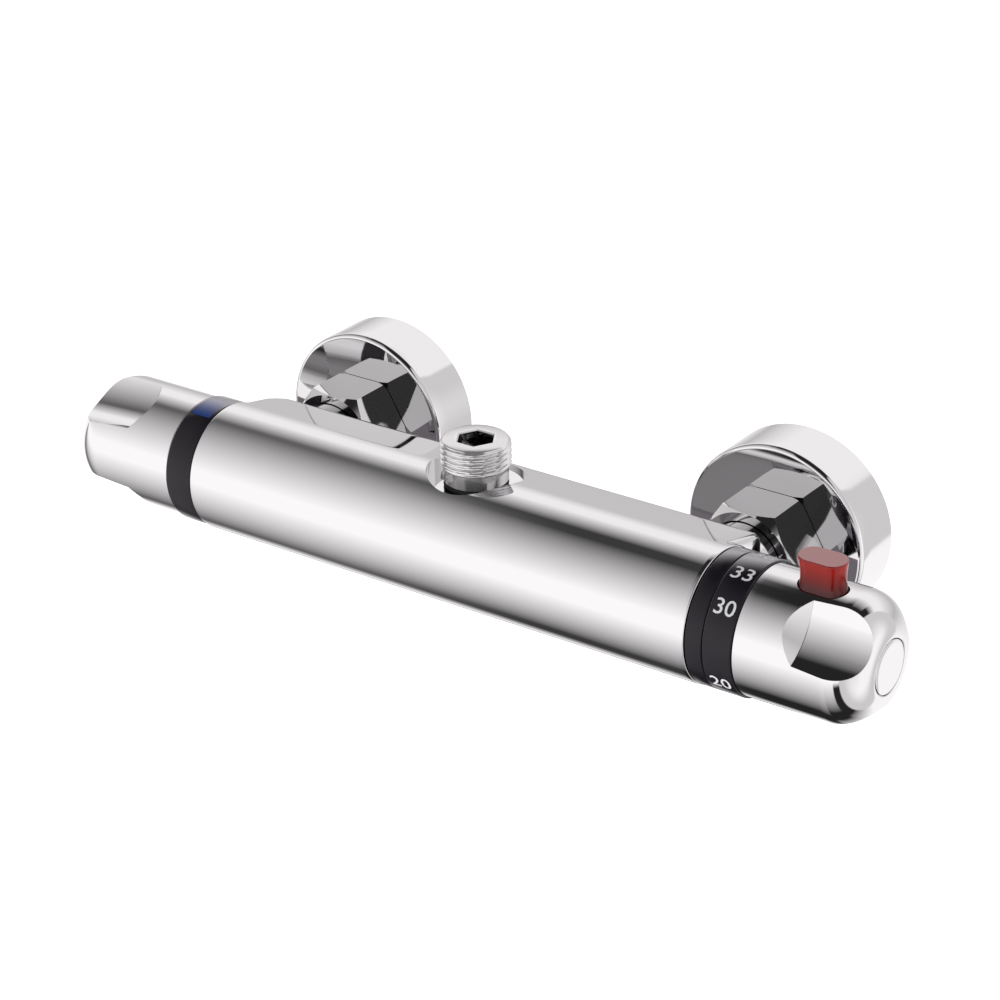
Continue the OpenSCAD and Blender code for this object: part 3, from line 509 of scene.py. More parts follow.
left_rows = [BAR_LEFT + HUMP_INSET + 0.4 * k for k in range(30)]
pocket_rows = [-20 + 1.25 * k for k in range(33)]
middle_rows = [-76 + 4 * k for k in range(14)] + pocket_rows + [24 + 4 * k for k in range(15)]
right_rows = [BAR_RIGHT - HUMP_INSET - HUMP_RIGHT_ROUND * (1 - math.sin(k * math.pi / 12)) for k in range(7)]
body_rows = [(HEADWORK_BORE_END, 0, LATHE), (HEADWORK_BORE_END, HEADWORK_BORE_R, LATHE),
             (HEADWORK_SEAT_X, HEADWORK_BORE_R, LATHE), (HEADWORK_SEAT_X, HEADWORK_SEAT_R, LATHE),
             (BAR_LEFT, HEADWORK_SEAT_R, LATHE)]
body_rows += reversed(bar_edge(BAR_LEFT, 1))
body_rows += [(x, 0, SKIN) for x in left_rows + middle_rows + right_rows]
body_rows += [(BAR_RIGHT - HUMP_INSET, BAR_R, LATHE)]
body_rows += bar_edge(BAR_RIGHT, -1)
body_rows += [(BAR_RIGHT, CARTRIDGE_SEAT_R, LATHE), (CARTRIDGE_SEAT_X, CARTRIDGE_SEAT_R, LATHE),
              (CARTRIDGE_SEAT_X, CARTRIDGE_BORE_R, LATHE), (CARTRIDGE_BORE_END, CARTRIDGE_BORE_R, LATHE),
              (CARTRIDGE_BORE_END, 0, LATHE)]


def body_point(row, column):
    """Where one vertex of the casting lies, in millimetres."""
    x, radius, kind = body_rows[row]
    angle = body_angles[column]
    reach = body_skin(x, angle) if kind == SKIN else radius
    return x, -BAR_TO_WALL + reach * math.cos(angle), BAR_HEIGHT + reach * math.sin(angle)


casting = shaped_grid(len(body_rows), len(body_angles), body_point)
for side in (-1, 1):
    tail = settle(rod(TAIL_R, -BAR_TO_WALL + HUMP_DEPTH - 2, -TAIL_END), towards_wall(side))
    machine(casting, "UNION", tail)
    check_bore = settle(rod(CHECK_BORE_R, CHECK_BORE_END, -TAIL_END + 1), towards_wall(side))
    inlet_bore = settle(rod(INLET_BORE_R, INLET_BORE_END, CHECK_BORE_END + 1), towards_wall(side))
    machine(casting, "DIFFERENCE", check_bore, inlet_bore)
outlet_axis = Matrix.Translation(Vector((0, -BAR_TO_WALL + OUTLET_BACK, BAR_HEIGHT)) * MM)
machine(casting, "DIFFERENCE", settle(rod(POCKET_R, POCKET_FLOOR, BAR_R + 5, 144), outlet_axis))
machine(casting, "DIFFERENCE", settle(rod(NIPPLE_HOLE_R, NIPPLE_HOLE_END, POCKET_FLOOR + 1), outlet_axis))
hand_over(casting, "Valve_body", "valve", "chrome", chrome, "valve_body")

# Outlet nipple
# A chromed brass nipple, screwed in from above with a hexagon key. The shower hose goes on its G1/2 thread.
# Its collar stands on a rubber ring in the pocket.
HALF_INCH_R, HALF_INCH_ROOT_R, HALF_INCH_PITCH = 10.4775, 9.3155, 1.814
THREAD_SWING, THREAD_RUN_OUT = 0.66, 0.8
OUTLET_TOP, OUTLET_ROOT_R, OUTLET_CHAMFER = 29.7, 9.75, 1.0
THREAD_LOW = 21.4
COLLAR_R, COLLAR_LOW, COLLAR_EDGE = 9.58, 16.8, 0.25
NIPPLE_FOOT_R, NIPPLE_FOOT = 8.3, 8
KEY_HALF, KEY_DEPTH, KEY_CHAMFER = 5.0, 9.0, 0.35
WATERWAY_R = 4.6
ROUND_STEPS = 144


def thread_radius(turn, height, low, high, chamfer, root):
    """Skin of a rounded pipe thread that runs out at its foot and is chamfered at its end."""
    wave = 0.5 + THREAD_SWING * math.cos(math.tau * (height / HALF_INCH_PITCH - turn))
    radius = root + (HALF_INCH_R - root) * min(max(wave, 0), 1)
    foot = min(max((height - low) / THREAD_RUN_OUT, 0), 1)
    radius = root + (radius - root) * foot
    return min(radius, HALF_INCH_R - max(0, height - (high - chamfer)))


nipple_rows = [("round", NIPPLE_FOOT_R, NIPPLE_FOOT), ("round", WATERWAY_R, NIPPLE_FOOT),
               ("round", WATERWAY_R, OUTLET_TOP - KEY_DEPTH), ("key", 0, OUTLET_TOP - KEY_DEPTH),
               ("key", 0, OUTLET_TOP - KEY_CHAMFER), ("key", KEY_CHAMFER, OUTLET_TOP),
               ("round", HALF_INCH_R - OUTLET_CHAMFER - 0.2, OUTLET_TOP),
               ("round", HALF_INCH_R - OUTLET_CHAMFER, OUTLET_TOP - 0.1)]
nipple_rows += [("thread", 0, OUTLET_TOP - 0.15 - 0.13 * k) for k in range(63)]
nipple_rows += [("round", OUTLET_ROOT_R, THREAD_LOW), ("round", COLLAR_R, THREAD_LOW - COLLAR_EDGE),
                ("round", COLLAR_R, COLLAR_LOW + 0.3), ("round", COLLAR_R - COLLAR_EDGE, COLLAR_LOW),
                ("round", NIPPLE_FOOT_R, COLLAR_LOW), ("round", NIPPLE_FOOT_R, NIPPLE_FOOT)]


def nipple_point(row, column):
    """Where one vertex of the nipple lies, in millimetres."""
    kind, size, height = nipple_rows[row]
    turn = column / ROUND_STEPS
    if kind == "key":
        corner = (turn * 6) % 1 * math.pi / 3 - math.pi / 6
        radius = (KEY_HALF + size) / math.cos(corner)
    elif kind == "thread":
        radius = thread_radius(turn, height, THREAD_LOW, OUTLET_TOP, OUTLET_CHAMFER, OUTLET_ROOT_R)
    else:
        radius = size
    return radius * math.cos(math.tau * turn), radius * math.sin(math.tau * turn), height


# Outside its key socket the plating over the cut thread is slightly satin
nipple_chrome, nodes, links, shader, place = paint("Nipple chrome", (0.86, 0.855, 0.86), 0.7)
worn(nodes, links, shader, place, 90.0, 0.06, 0.16, 0.05)
flat_place = nodes.new("ShaderNodeVectorMath")
flat_place.operation = "MULTIPLY"
flat_place.inputs[1].default_value = (1, 1, 0)
links.new(place, flat_place.inputs[0])
from_axis = nodes.new("ShaderNodeVectorMath")
from_axis.operation = "DISTANCE"
from_axis.inputs[1].default_value = (0, (OUTLET_BACK - BAR_TO_WALL) * MM, 0)
links.new(flat_place.outputs[0], from_axis.inputs[0])
satin_outside = stretched(
    nodes, links, from_axis.outputs["Value"], ((KEY_HALF + 0.9) * MM, (KEY_HALF + 1.4) * MM), (1.0, 0.78))
links.new(satin_outside, shader.inputs["Metallic"])
nipple = settle(shaped_grid(len(nipple_rows), ROUND_STEPS, nipple_point), outlet_axis)
hand_over(nipple, "Outlet_nipple", "valve", "chrome", nipple_chrome, "outlet_nipple", angle=40)

# Scale ring and stop ring
# Two moulded black rings between the bar and the temperature handle, lacquered to a deep gloss that mirrors
# when seen aslant, with a painted sheen on their upper side. The inner one is fixed and has the pointer. The
# outer one turns and has the figures.
RING_R, RING_EDGE = 19.7, 0.3
STOP_RING_X, STOP_RING_W, STOP_RING_BORE_R = 87.3, 5.2, 12.65
SCALE_RING_X, SCALE_RING_W, SCALE_RING_BORE_R = 92.8, 8.8, 14.6
SPIGOT_R, SPIGOT_LONG = 16.4, 5.6


def aslant_gloss_and_painted_top_sheen(nodes, links, shader, color, from_facing, to_facing):
    """Gives a dark piece deep lacquer's gloss where seen aslant, and a painted sheen: a pale grey mirror on
    its upper side only.
    """
    aslant = nodes.new("ShaderNodeLayerWeight")
    aslant.inputs["Blend"].default_value = 0.5
    normal = nodes.new("ShaderNodeSeparateXYZ")
    links.new(nodes.new("ShaderNodeNewGeometry").outputs["Normal"], normal.inputs[0])
    painted_top_sheen_share = stretched(nodes, links, normal.outputs["Z"], (0, 0.5), (0, 0.75))
    share = stretched(nodes, links, aslant.outputs["Facing"], (from_facing, to_facing), (0, painted_top_sheen_share), True)
    links.new(mixed(nodes, links, share, color, (0.62, 0.60, 0.63)), shader.inputs["Base Color"])
    links.new(share, shader.inputs["Metallic"])


black_moulding, nodes, links, shader, place = paint("Black moulding", (0.012, 0.010, 0.013), 0.0, 0.2)
worn(nodes, links, shader, place, 140.0, 0.10, 0.18, 0.05)
shader.inputs["Specular IOR Level"].default_value = 0.3
# Painted sheen: the black turns a pale grey mirror on its upper side where it is seen aslant
aslant_gloss_and_painted_top_sheen(nodes, links, shader, (0.012, 0.010, 0.014), 0.35, 0.65)


def ring_profile(inner, high):
    """Section of a plain ring with its two outer edges rounded."""
    return [(inner, 0)] + fillet((RING_R - RING_EDGE, RING_EDGE), RING_EDGE, -90, 0, 4) \
        + fillet((RING_R - RING_EDGE, high - RING_EDGE), RING_EDGE, 0, 90, 4) + [(inner, high)]


def out_from(bar_end, distance):
    """The place of a piece on the bar's axis, so far out from the bar's middle."""
    return bar_end @ Matrix.Translation((0, 0, distance * MM))


stop_ring = settle(turned(ring_profile(STOP_RING_BORE_R, STOP_RING_W)), out_from(ALONG_BAR, STOP_RING_X))
hand_over(stop_ring, "Stop_ring", "valve", "black_plastic", black_moulding, "stop_ring")
scale_section = ring_profile(SCALE_RING_BORE_R, SCALE_RING_W)
scale_section[-1:] = [(SPIGOT_R, SCALE_RING_W), (SPIGOT_R, SCALE_RING_W + SPIGOT_LONG),
                      (SCALE_RING_BORE_R, SCALE_RING_W + SPIGOT_LONG)]
scale_ring = settle(turned(scale_section), out_from(ALONG_BAR, SCALE_RING_X))
hand_over(scale_ring, "Scale_ring", "temperature_knob", "black_plastic", black_moulding, "scale_ring")

# Temperature figures and pointer
# White ink, printed round the scale ring while it turns, and one white line on the fixed ring to read it by.
# The figures are water temperatures in degrees Celsius.
FIGURE_X = 97.4
FIGURE_WIDE, FIGURE_TALL = 6.3, 4.5
INK = 0.035
FIGURES = (("20", -30.5), ("30", 39), ("33", 71.5), ("38", 106), ("42", 140), ("45", 172), ("50", 206))
POINTER_AT, POINTER_LONG, POINTER_WIDE = 106, 2.6, 0.7

white_ink, nodes, links, shader, place = paint("White ink", (0.80, 0.80, 0.82), 0.0, 0.35)
ink_tone = mixed(nodes, links, patches(nodes, links, place, 900.0), (0.62, 0.62, 0.64), (0.86, 0.86, 0.88))
links.new(ink_tone, shader.inputs["Base Color"])


def wrap_round_ring(piece, x, degrees):
    """Slices flat print into strips and lays it on the ring, its foot to the front, reading along the bar."""
    in_edit_mode(piece)
    for k in range(-7, 8):
        bpy.ops.mesh.select_all(action="SELECT")
        bpy.ops.mesh.bisect(plane_co=(0, k * 0.36 * MM, 0), plane_no=(0, 1, 0))
    bpy.ops.object.mode_set(mode="OBJECT")
    for vertex in piece.data.vertices:
        angle = math.radians(degrees) + vertex.co.y / (RING_R * MM)
        reach = RING_R * MM + vertex.co.z
        vertex.co = Vector((
            x * MM + vertex.co.x,
            -BAR_TO_WALL * MM - reach * math.cos(angle),
            BAR_HEIGHT * MM + reach * math.sin(angle),
        ))
    in_edit_mode(piece)
    bpy.ops.mesh.normals_make_consistent(inside=False)
    bpy.ops.object.mode_set(mode="OBJECT")
    return piece


for figure, degrees in FIGURES:
    deselect()
    bpy.ops.object.text_add(location=(0, 0, 0))
    text = bpy.context.object
    text.data.body = figure
    text.data.align_x = "CENTER"
    text.data.align_y = "CENTER"
    text.data.offset = 0.004
    text.data.resolution_u = 6
    text.data.extrude = 0.5
    bpy.ops.object.convert(target="MESH")
    text = bpy.context.object
    across = sorted(vertex.co.x for vertex in text.data.vertices)
    upward = sorted(vertex.co.y for vertex in text.data.vertices)
    for vertex in text.data.vertices:
        vertex.co = Vector((
            (vertex.co.x - (across[-1] + across[0]) / 2) / (across[-1] - across[0]) * FIGURE_WIDE,
            (vertex.co.y - (upward[-1] + upward[0]) / 2) / (upward[-1] - upward[0]) * FIGURE_TALL,
            INK if vertex.co.z > 0 else -INK,
        )) * MM
    in_edit_mode(text)
    bpy.ops.mesh.remove_doubles(threshold=1e-7)
    bpy.ops.object.mode_set(mode="OBJECT")
    wrap_round_ring(text, FIGURE_X, degrees)
    hand_over(text, "Figure_" + figure, "temperature_knob", "white_plastic", white_ink)

deselect()
bpy.ops.mesh.primitive_cube_add(size=1)
pointer = bpy.context.object
for vertex in pointer.data.vertices:
    vertex.co = Vector((vertex.co.x * POINTER_LONG, vertex.co.y * POINTER_WIDE, vertex.co.z * 2 * INK)) * MM
wrap_round_ring(pointer, STOP_RING_X + STOP_RING_W - 1.7, POINTER_AT)
hand_over(pointer, "Scale_pointer", "valve", "white_plastic", white_ink)

# Flow ring and blue mark
# A moulded black ring between the bar and the flow handle, fixed to the headwork, with a blue inlay for cold.
# The inlay is its own moulding, pressed flush into a recess.
FLOW_RING_X, FLOW_RING_W, FLOW_RING_BORE_R = 89.8, 9.6, 16.3
MARK_AT, MARK_X, MARK_LONG, MARK_WIDE, MARK_THICK = 83, 91.1, 7.0, 10.2, 0.8
MARK_GAP = 0.05

flow_ring = settle(turned(ring_profile(FLOW_RING_BORE_R, FLOW_RING_W)), out_from(ALONG_BAR_LEFT, FLOW_RING_X))


def mark_tool(spare, outer, inner, steps=12):
    """A curved block the size of the inlay."""
    half = math.asin(MARK_WIDE / 2 / RING_R) + spare / RING_R
    outline = [(outer, -half + 2 * half * k / steps) for k in range(steps + 1)]
    outline += [(inner, half - 2 * half * k / steps) for k in range(steps + 1)]

    def mark_point(row, column):
        """Where one vertex of the block lies, in millimetres."""
        radius, swing = outline[column]
        low, high = MARK_X - spare, MARK_X + MARK_LONG + spare
        return radius * math.cos(swing), radius * math.sin(swing), (low, high)[row]

    return shaped_grid(2, len(outline), mark_point, open_ends=True)


def to_angle(degrees):
    """Turns a piece that points along local X to an angle round the bar, front 0, top 90."""
    return Matrix.Rotation(math.radians(-90 - degrees), 4, "Z")


recess = mark_tool(MARK_GAP, RING_R + 1, RING_R - MARK_THICK - MARK_GAP)
machine(flow_ring, "DIFFERENCE", settle(recess, ALONG_BAR_LEFT @ to_angle(MARK_AT)))
hand_over(flow_ring, "Flow_ring", "valve", "black_plastic", black_moulding, "flow_ring")
blue_inlay, nodes, links, shader, place = paint("Blue inlay", (0.010, 0.045, 0.20), 0.0, 0.2)
worn(nodes, links, shader, place, 200.0, 0.10, 0.18, 0.04)
shader.inputs["Specular IOR Level"].default_value = 0.3
# Painted sheen: the blue turns a pale grey mirror on its upper side where it is seen aslant
aslant_gloss_and_painted_top_sheen(nodes, links, shader, (0.008, 0.045, 0.22), 0.35, 0.75)
mark = settle(mark_tool(0, RING_R, RING_R - MARK_THICK), ALONG_BAR_LEFT @ to_angle(MARK_AT))
hand_over(mark, "Blue_mark", "valve", "blue_plastic", blue_inlay, "flow_mark")

# Handles
# Two zinc castings, turned, milled with three finger hollows each, polished and chromed. A pointed cutter
# comes in from the outer end, on a slight slope, and leaves a round floor and a cone-shaped foot.
# Each sits on a splined spindle, held by a screw under its end disc.
KNOB_R, KNOB_EDGE, DOME_R = 19.1, 0.35, 11
TEMPERATURE_X, TEMPERATURE_LONG, TEMPERATURE_HOLLOW_AT = 101.65, 37.8, 38
FLOW_X, FLOW_LONG, FLOW_HOLLOW_AT = 99.7, 40.6, 65
HOLLOW_HEIGHT, HOLLOW_FOOT, HOLLOW_R, HOLLOW_SLOPE = 14, 18, 17.5, 5
FOOT_FILLET, HOLLOW_EDGE = 0.5, 0.25
DISC_R, DISC_DEPTH = KNOB_R - DOME_R, 2
SCREW_WELL_R, SCREW_WELL_DEPTH, SCREW_HOLE_R = 4.8, 13, 2.3
HUB_R, HUB_START, INSERT_R, INSERT_END = 8.5, 2, 6.5, 11.5
CAVITY_R, CAVITY_END = 11.8, 24.5
SKIRT_BORE_R, SKIRT_DEPTH = 16.5, 6


def finger_hollow(length):
    """The milling cutter's path for one finger hollow: a long round bar, its 45 degree point rounded off."""
    rise = FOOT_FILLET * (math.sqrt(2) - 1)
    path = [(0, -HOLLOW_R)] + fillet((HOLLOW_R - FOOT_FILLET, rise), FOOT_FILLET, -45, 0, 6)
    cutter = turned(path + [(HOLLOW_R, length), (0, length)], 180)
    slope = Matrix.Rotation(math.radians(-HOLLOW_SLOPE), 4, "Y")
    return settle(cutter, Matrix.Translation((HOLLOW_R * MM, 0, 0)), slope,
                  Matrix.Translation((HOLLOW_HEIGHT * MM, 0, HOLLOW_FOOT * MM)))


def rounded(piece, name, width, segments, degrees):
    """Rounds the edges of a piece that are sharper than an angle."""
    edges = piece.modifiers.new(name, "BEVEL")
    edges.width = width * MM
    edges.segments = segments
    edges.limit_method = "ANGLE"
    edges.angle_limit = math.radians(degrees)
    deselect()
    bpy.context.view_layer.objects.active = piece
    bpy.ops.object.modifier_apply(modifier=edges.name)
    return piece


def handle(length, hollow_at, place):
    """One handle: turned all over, then milled."""
    straight = [(KNOB_R, KNOB_EDGE + (length - DOME_R - KNOB_EDGE) * k / 14) for k in range(1, 14)]
    section = [(SKIRT_BORE_R, 0), (KNOB_R - KNOB_EDGE, 0)]
    section += fillet((KNOB_R - KNOB_EDGE, KNOB_EDGE), KNOB_EDGE, -70, 0, 4) + straight
    section += fillet((DISC_R, length - DOME_R), DOME_R, 0, 88.5, 40)
    section += [(DISC_R, length - 0.12), (DISC_R, length - DISC_DEPTH), (SCREW_WELL_R, length - DISC_DEPTH),
                (SCREW_WELL_R, length - SCREW_WELL_DEPTH), (SCREW_HOLE_R, length - SCREW_WELL_DEPTH),
                (SCREW_HOLE_R, INSERT_END), (INSERT_R, INSERT_END), (INSERT_R, HUB_START), (HUB_R, HUB_START),
                (HUB_R, CAVITY_END), (CAVITY_R, CAVITY_END), (CAVITY_R, SKIRT_DEPTH),
                (SKIRT_BORE_R, SKIRT_DEPTH)]
    blank = turned(section, 180)
    for third in range(3):
        machine(blank, "DIFFERENCE", settle(finger_hollow(length), to_angle(hollow_at + 120 * third)))
    return settle(rounded(blank, "Milled edges", HOLLOW_EDGE, 3, 24), place)


temperature_place = out_from(ALONG_BAR, TEMPERATURE_X)
flow_place = out_from(ALONG_BAR_LEFT, FLOW_X)
temperature_handle = handle(TEMPERATURE_LONG, TEMPERATURE_HOLLOW_AT, temperature_place)
flow_handle = handle(FLOW_LONG, FLOW_HOLLOW_AT, flow_place)
hand_over(flow_handle, "Flow_handle", "flow_knob", "chrome", chrome, "flow_handle", true_flats=True)

# Safety button
# A glossy red moulding that stands on a spring, through a slot in the temperature handle. It has to be
# pressed to turn past 38 degrees. Its side draws in a little above the slot, so that a fingertip finds it.
BUTTON_AT, BUTTON_FROM_RING = 86, 17.6
BUTTON_LONG, BUTTON_WIDE, BUTTON_LOW, BUTTON_TOP = 14.4, 8.6, 11.7, 28.2
WAIST_LOW, WAIST_DEEP, BUTTON_EDGE = 18.6, 0.55, 0.45
SLOT_GAP, SLOT_LOW = 0.5, 11
FLANGE_LONG, FLANGE_WIDE, FLANGE_LOW, FLANGE_HIGH = 16.2, 10.8, 8.3, 13


def stadium_tool(length, wide, low, high):
    """A round-ended block standing along local X, its long side along local Z."""
    deselect()
    bpy.ops.mesh.primitive_cylinder_add(vertices=64, radius=wide / 2 * MM, depth=(high - low) * MM)
    block = bpy.context.object
    turn_half = Matrix.Rotation(math.pi / 64, 4, "Z")
    for vertex in block.data.vertices:
        vertex.co = turn_half @ vertex.co
        vertex.co.x += math.copysign((length - wide) / 2 * MM, vertex.co.x)
        vertex.co.z += (low + high) / 2 * MM
    return settle(block, Matrix.Rotation(math.pi / 2, 4, "Y"))


button_place = temperature_place @ to_angle(BUTTON_AT) @ Matrix.Translation((0, 0, BUTTON_FROM_RING * MM))
slot = stadium_tool(BUTTON_LONG + SLOT_GAP, BUTTON_WIDE + SLOT_GAP, SLOT_LOW, KNOB_R + 2)
flange_room = stadium_tool(FLANGE_LONG, FLANGE_WIDE, FLANGE_LOW, FLANGE_HIGH)
machine(temperature_handle, "DIFFERENCE", settle(slot, button_place), settle(flange_room, button_place))
hand_over(
    temperature_handle, "Temperature_handle", "temperature_knob", "chrome", chrome, "temperature_handle",
    true_flats=True)

button = stadium_tool(BUTTON_LONG, BUTTON_WIDE, BUTTON_LOW, BUTTON_TOP)
in_edit_mode(button)
for height in (18.2, 18.9, 19.6, 20.4, 21.4, 22.6, 23.8, 25.0, 26.2, 27.4):
    bpy.ops.mesh.select_all(action="SELECT")
    bpy.ops.mesh.bisect(plane_co=(height * MM, 0, 0), plane_no=(1, 0, 0))
bpy.ops.object.mode_set(mode="OBJECT")
for vertex in button.data.vertices:
    rise = (vertex.co.x / MM - WAIST_LOW) / (BUTTON_TOP - WAIST_LOW)
    waist = 0 if rise < 0 or rise > 1 else WAIST_DEEP * math.sin(math.pi * rise ** 0.7)
    for axis, half in ((1, BUTTON_WIDE / 2), (2, BUTTON_LONG / 2)):
        vertex.co[axis] *= 1 - waist / half
button = settle(rounded(button, "Top edge", BUTTON_EDGE, 4, 50), button_place)

# Its top has the deep gloss; the red has a painted glow towards its edges and a painted shade down into the
# slot
red_gloss, nodes, links, shader, place = paint("Red gloss", (0.20, 0.010, 0.008), 0.0, 0.1)
worn(nodes, links, shader, place, 120.0, 0.05, 0.12)
shader.inputs["Specular IOR Level"].default_value = 0.25
shader.inputs["Coat Roughness"].default_value = 0.04
shader.inputs["Coat IOR"].default_value = 2.2
facing_up = nodes.new("ShaderNodeSeparateXYZ")
links.new(nodes.new("ShaderNodeNewGeometry").outputs["Normal"], facing_up.inputs[0])
top_gloss = stretched(nodes, links, facing_up.outputs["Z"], (0.4, 0.9), (0.1, 1.0))
links.new(top_gloss, shader.inputs["Coat Weight"])
# Painted glow: the red turns brighter towards the edges, where the sides are seen aslant
painted_edge_glow = nodes.new("ShaderNodeLayerWeight")
painted_edge_glow.inputs["Blend"].default_value = 0.45
red_with_painted_edge_glow = mixed(nodes, links, painted_edge_glow.outputs["Facing"], (0.24, 0.010, 0.007), (0.42, 0.020, 0.010))
button_height = nodes.new("ShaderNodeSeparateXYZ")
links.new(place, button_height.inputs[0])
# Painted shade: the red darkens to near black down into the slot
painted_slot_shade = stretched(
    nodes, links, button_height.outputs["Z"], ((BAR_HEIGHT + 19) * MM, (BAR_HEIGHT + 26) * MM), (0.15, 1.0))
links.new(mixed(nodes, links, painted_slot_shade, (0.02, 0.003, 0.004), red_with_painted_edge_glow), shader.inputs["Base Color"])
hand_over(
    button, "Safety_button", "safety_button", "red_plastic", red_gloss, "safety_button", true_flats=True)
button.visible_glossy = False

# End discs
# Chromed caps that snap over the screw in each handle. A fine joint shows round each one.
DISC_THICK, DISC_JOINT, DISC_EDGE = 1.95, 0.22, 0.3
CLIP_BORE_R, CLIP_R, CLIP_DEPTH = 3.6, 4.7, 5
for name, body, node, length, side in (
    ("Temperature_end_disc", "temperature_knob", "temperature_end_disc", TEMPERATURE_LONG, temperature_place),
    ("Flow_end_disc", "flow_knob", "flow_end_disc", FLOW_LONG, flow_place),
):
    disc_section = [(0, -DISC_THICK), (CLIP_BORE_R, -DISC_THICK), (CLIP_BORE_R, -CLIP_DEPTH),
                    (CLIP_R, -CLIP_DEPTH), (CLIP_R, -DISC_THICK), (DISC_R - DISC_JOINT, -DISC_THICK)]
    disc_section += fillet((DISC_R - DISC_JOINT - DISC_EDGE, -DISC_EDGE), DISC_EDGE, 0, 80, 5)
    disc_section += [(DISC_R * (1 - k / 8), -0.005 * k) for k in range(2, 8)] + [(0, -0.04)]
    disc = settle(turned(disc_section), side @ Matrix.Translation((0, 0, length * MM)))
    hand_over(disc, name, body, "chrome", chrome, node)

# Union nuts
# Forged and milled hexagon nuts, chamfered on the lathe, chromed. Each turns freely on its tail and pulls the
# valve against the eccentric connector.
NUT_AF, NUT_LONG, NUT_FRONT = 30, 16.4, 34.4
NUT_THREAD_R, NUT_SHELF, TAIL_GAP = 13.22, 3.2, 0.3
nut_corner = NUT_AF / 2 / math.cos(math.pi / 6)
nut_edge = nut_corner - NUT_AF / 2
nut_chamfer = [(0, 0), (NUT_AF / 2 - 0.2, 0), (nut_corner + 0.2, nut_edge),
               (nut_corner + 0.2, NUT_LONG - nut_edge / 2), (NUT_AF / 2 + nut_edge / 2, NUT_LONG),
               (0, NUT_LONG)]
for name, body, node, side in (
    ("Hot_union_nut", "hot_nut", "hot_union_nut", -1),
    ("Cold_union_nut", "cold_nut", "cold_union_nut", 1),
):
    nut = settle(rod(nut_corner, 0, NUT_LONG, 6), Matrix.Rotation(math.pi / 6, 4, "Z"))
    machine(nut, "INTERSECT", turned(nut_chamfer, 144))
    rounded(nut, "Polished corners", 0.3, 3, 20)
    tail_hole = rod(TAIL_R + TAIL_GAP, -1, NUT_LONG + 1)
    machine(nut, "DIFFERENCE", tail_hole, rod(NUT_THREAD_R, NUT_SHELF, NUT_LONG + 1))
    settle(nut, towards_wall(side, -NUT_FRONT))
    hand_over(nut, name, body, "chrome", chrome, node, true_flats=True)

# Wall plates
# Deep-drawn brass cups, polished and chromed, that hide the hole in the tiles. They slide on the connectors.
PLATE_R, PLATE_DEPTH, PLATE_WALL, PLATE_EDGE = 29.1, 17.8, 1.8, 1.4
PLATE_HOLE_R = 13.3
plate_section = [(PLATE_HOLE_R, 0), (20, 0)]
plate_section += fillet((PLATE_R - PLATE_EDGE, PLATE_EDGE), PLATE_EDGE, -90, 0, 12)
plate_section += [(PLATE_R, PLATE_EDGE + (PLATE_DEPTH - PLATE_EDGE - 0.3) * k / 4) for k in range(1, 5)]
plate_section += [(PLATE_R - 0.3, PLATE_DEPTH), (PLATE_R - PLATE_WALL, PLATE_DEPTH),
                  (PLATE_R - PLATE_WALL, PLATE_WALL), (PLATE_HOLE_R, PLATE_WALL)]
for name, node, side in (("Hot_wall_plate", "hot_wall_plate", -1), ("Cold_wall_plate", "cold_wall_plate", 1)):
    plate = settle(turned(plate_section, 180), towards_wall(side, -PLATE_DEPTH))
    hand_over(plate, name, "valve", "chrome", chrome, node)

# Eccentric connectors
# Brass castings with a G3/4 end for the nut and a G1/2 end for the wall, on two axes 6 mm apart.
# Only the plates hide them, and their wall threads are left bare.
STUB_LONG, STUB_START, STUB_THREAD_LOW, STUB_CHAMFER = 20, -12, 2.0, 1.2
STUB_BORE_R, STUB_TIP_R, STUB_NECK_R = 7.5, 9.0, 10.4
STUB_STEPS = 96
HEAD_BORE_R, HEAD_R, HEAD_EDGE_R = 9, 13.14, 12.8
HEAD_FRONT, HEAD_BACK = -26.4, -8
bare_brass, nodes, links, shader, place = paint("Bare brass", (0.62, 0.42, 0.16), 1.0)
worn(nodes, links, shader, place, 70.0, 0.22, 0.42, 0.2)
brass_tone = mixed(nodes, links, patches(nodes, links, place, 45.0), (0.48, 0.31, 0.11), (0.70, 0.50, 0.22))
links.new(brass_tone, shader.inputs["Base Color"])

stub_rows = [("round", STUB_BORE_R, STUB_START), ("round", STUB_BORE_R, STUB_LONG),
             ("round", STUB_TIP_R, STUB_LONG)]
stub_rows += [("thread", 0, STUB_LONG - 0.05 - 0.165 * k) for k in range(108)]
stub_rows += [("round", HALF_INCH_ROOT_R, STUB_THREAD_LOW), ("round", STUB_NECK_R, STUB_THREAD_LOW - 0.4),
              ("round", STUB_NECK_R, STUB_START), ("round", STUB_BORE_R, STUB_START)]


def stub_point(row, column):
    """Where one vertex of the wall end lies, in millimetres."""
    kind, radius, height = stub_rows[row]
    turn = column / STUB_STEPS
    if kind == "thread":
        radius = thread_radius(turn, height, STUB_THREAD_LOW, STUB_LONG, STUB_CHAMFER, HALF_INCH_ROOT_R)
    return radius * math.cos(math.tau * turn), radius * math.sin(math.tau * turn), height


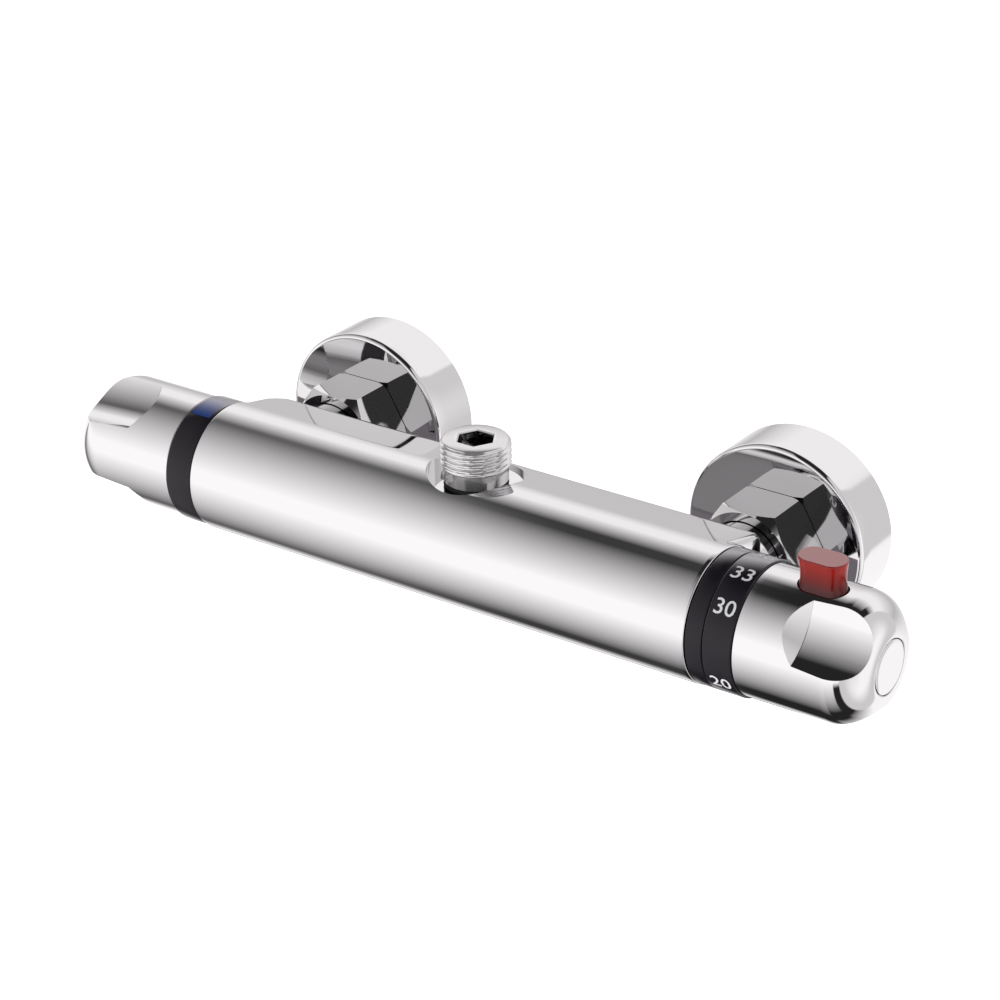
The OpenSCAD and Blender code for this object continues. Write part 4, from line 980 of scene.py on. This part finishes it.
head_section = [(HEAD_BORE_R, HEAD_FRONT), (HEAD_EDGE_R, HEAD_FRONT), (HEAD_R, HEAD_FRONT + 0.4),
                (HEAD_R, HEAD_BACK - 0.4), (HEAD_EDGE_R, HEAD_BACK), (HEAD_BORE_R, HEAD_BACK)]
for name, node, side in (("Hot_eccentric", "hot_eccentric", -1), ("Cold_eccentric", "cold_eccentric", 1)):
    connector = settle(shaped_grid(len(stub_rows), STUB_STEPS, stub_point), towards_wall(side, height=0))
    head_bore = rod(HEAD_BORE_R, HEAD_FRONT - 0.6, HEAD_BACK - 1)
    machine(connector, "UNION", settle(turned(head_section), towards_wall(side)))
    machine(connector, "DIFFERENCE", settle(head_bore, towards_wall(side)))
    hand_over(connector, name, "valve", "bare_thread", bare_brass, node, angle=40)

# Works inside
# What the chrome hides keeps its solids: brass and plastic of the cartridge and headwork, springs, rubber
# rings, ceramic discs, strainers and check valves. Each gets the finish of what it is made of.
def inside_finish(name, dark, light, metallic, grain, low, high, bump=0.1):
    """A finish whose tone drifts a little over the piece, as cut or moulded stock does."""
    finish, nodes, links, shader, place = paint(name, light, metallic)
    worn(nodes, links, shader, place, grain, low, high, bump)
    tone = mixed(nodes, links, patches(nodes, links, place, grain * 0.5), dark, light)
    links.new(tone, shader.inputs["Base Color"])
    return finish


turned_brass = inside_finish("Turned brass", (0.50, 0.34, 0.12), (0.66, 0.47, 0.19), 1, 90, 0.18, 0.32)
spring_steel = inside_finish("Spring steel", (0.38, 0.38, 0.39), (0.55, 0.55, 0.56), 1, 160, 0.22, 0.36)
rubber = inside_finish("Black rubber", (0.010, 0.010, 0.010), (0.022, 0.022, 0.022), 0, 220, 0.55, 0.75, 0.3)
white_moulding = inside_finish("White moulding", (0.62, 0.61, 0.57), (0.74, 0.73, 0.69), 0, 120, 0.35, 0.5)
grey_moulding = inside_finish("Grey moulding", (0.075, 0.077, 0.08), (0.11, 0.112, 0.115), 0, 120, 0.38, 0.52)
ceramic = inside_finish("White ceramic", (0.74, 0.74, 0.72), (0.84, 0.84, 0.82), 0, 80, 0.12, 0.2, 0.0)
copper = inside_finish("Drawn copper", (0.56, 0.24, 0.13), (0.72, 0.34, 0.20), 1, 90, 0.2, 0.34)
for finish, inside_nodes in (
    (turned_brass, ("cartridge_retainer", "adjusting_spindle", "adjusting_nut", "headwork_body",
                    "flow_spindle")),
    (spring_steel, ("overload_spring", "return_spring", "button_spring", "hot_check_spring",
                    "cold_check_spring", "temperature_screw", "flow_screw", "flow_spindle_clip",
                    "nut_retaining_rings", "inlet_strainers")),
    (rubber, ("outlet_o_ring", "cartridge_o_rings", "spindle_o_ring", "headwork_o_ring", "headwork_seal",
              "flow_spindle_o_ring", "inlet_seals", "check_valve_o_rings")),
    (white_moulding, ("temperature_insert", "flow_insert", "hot_check_valve", "cold_check_valve",
                      "hot_check_poppet", "cold_check_poppet", "mixing_piston")),
    (grey_moulding, ("cartridge_housing",)),
    (ceramic, ("fixed_ceramic_disc", "turning_ceramic_disc")),
    (copper, ("wax_element",)),
):
    for inside_node in inside_nodes:
        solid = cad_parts[inside_node]
        solid.data.materials.clear()
        solid.data.materials.append(finish)
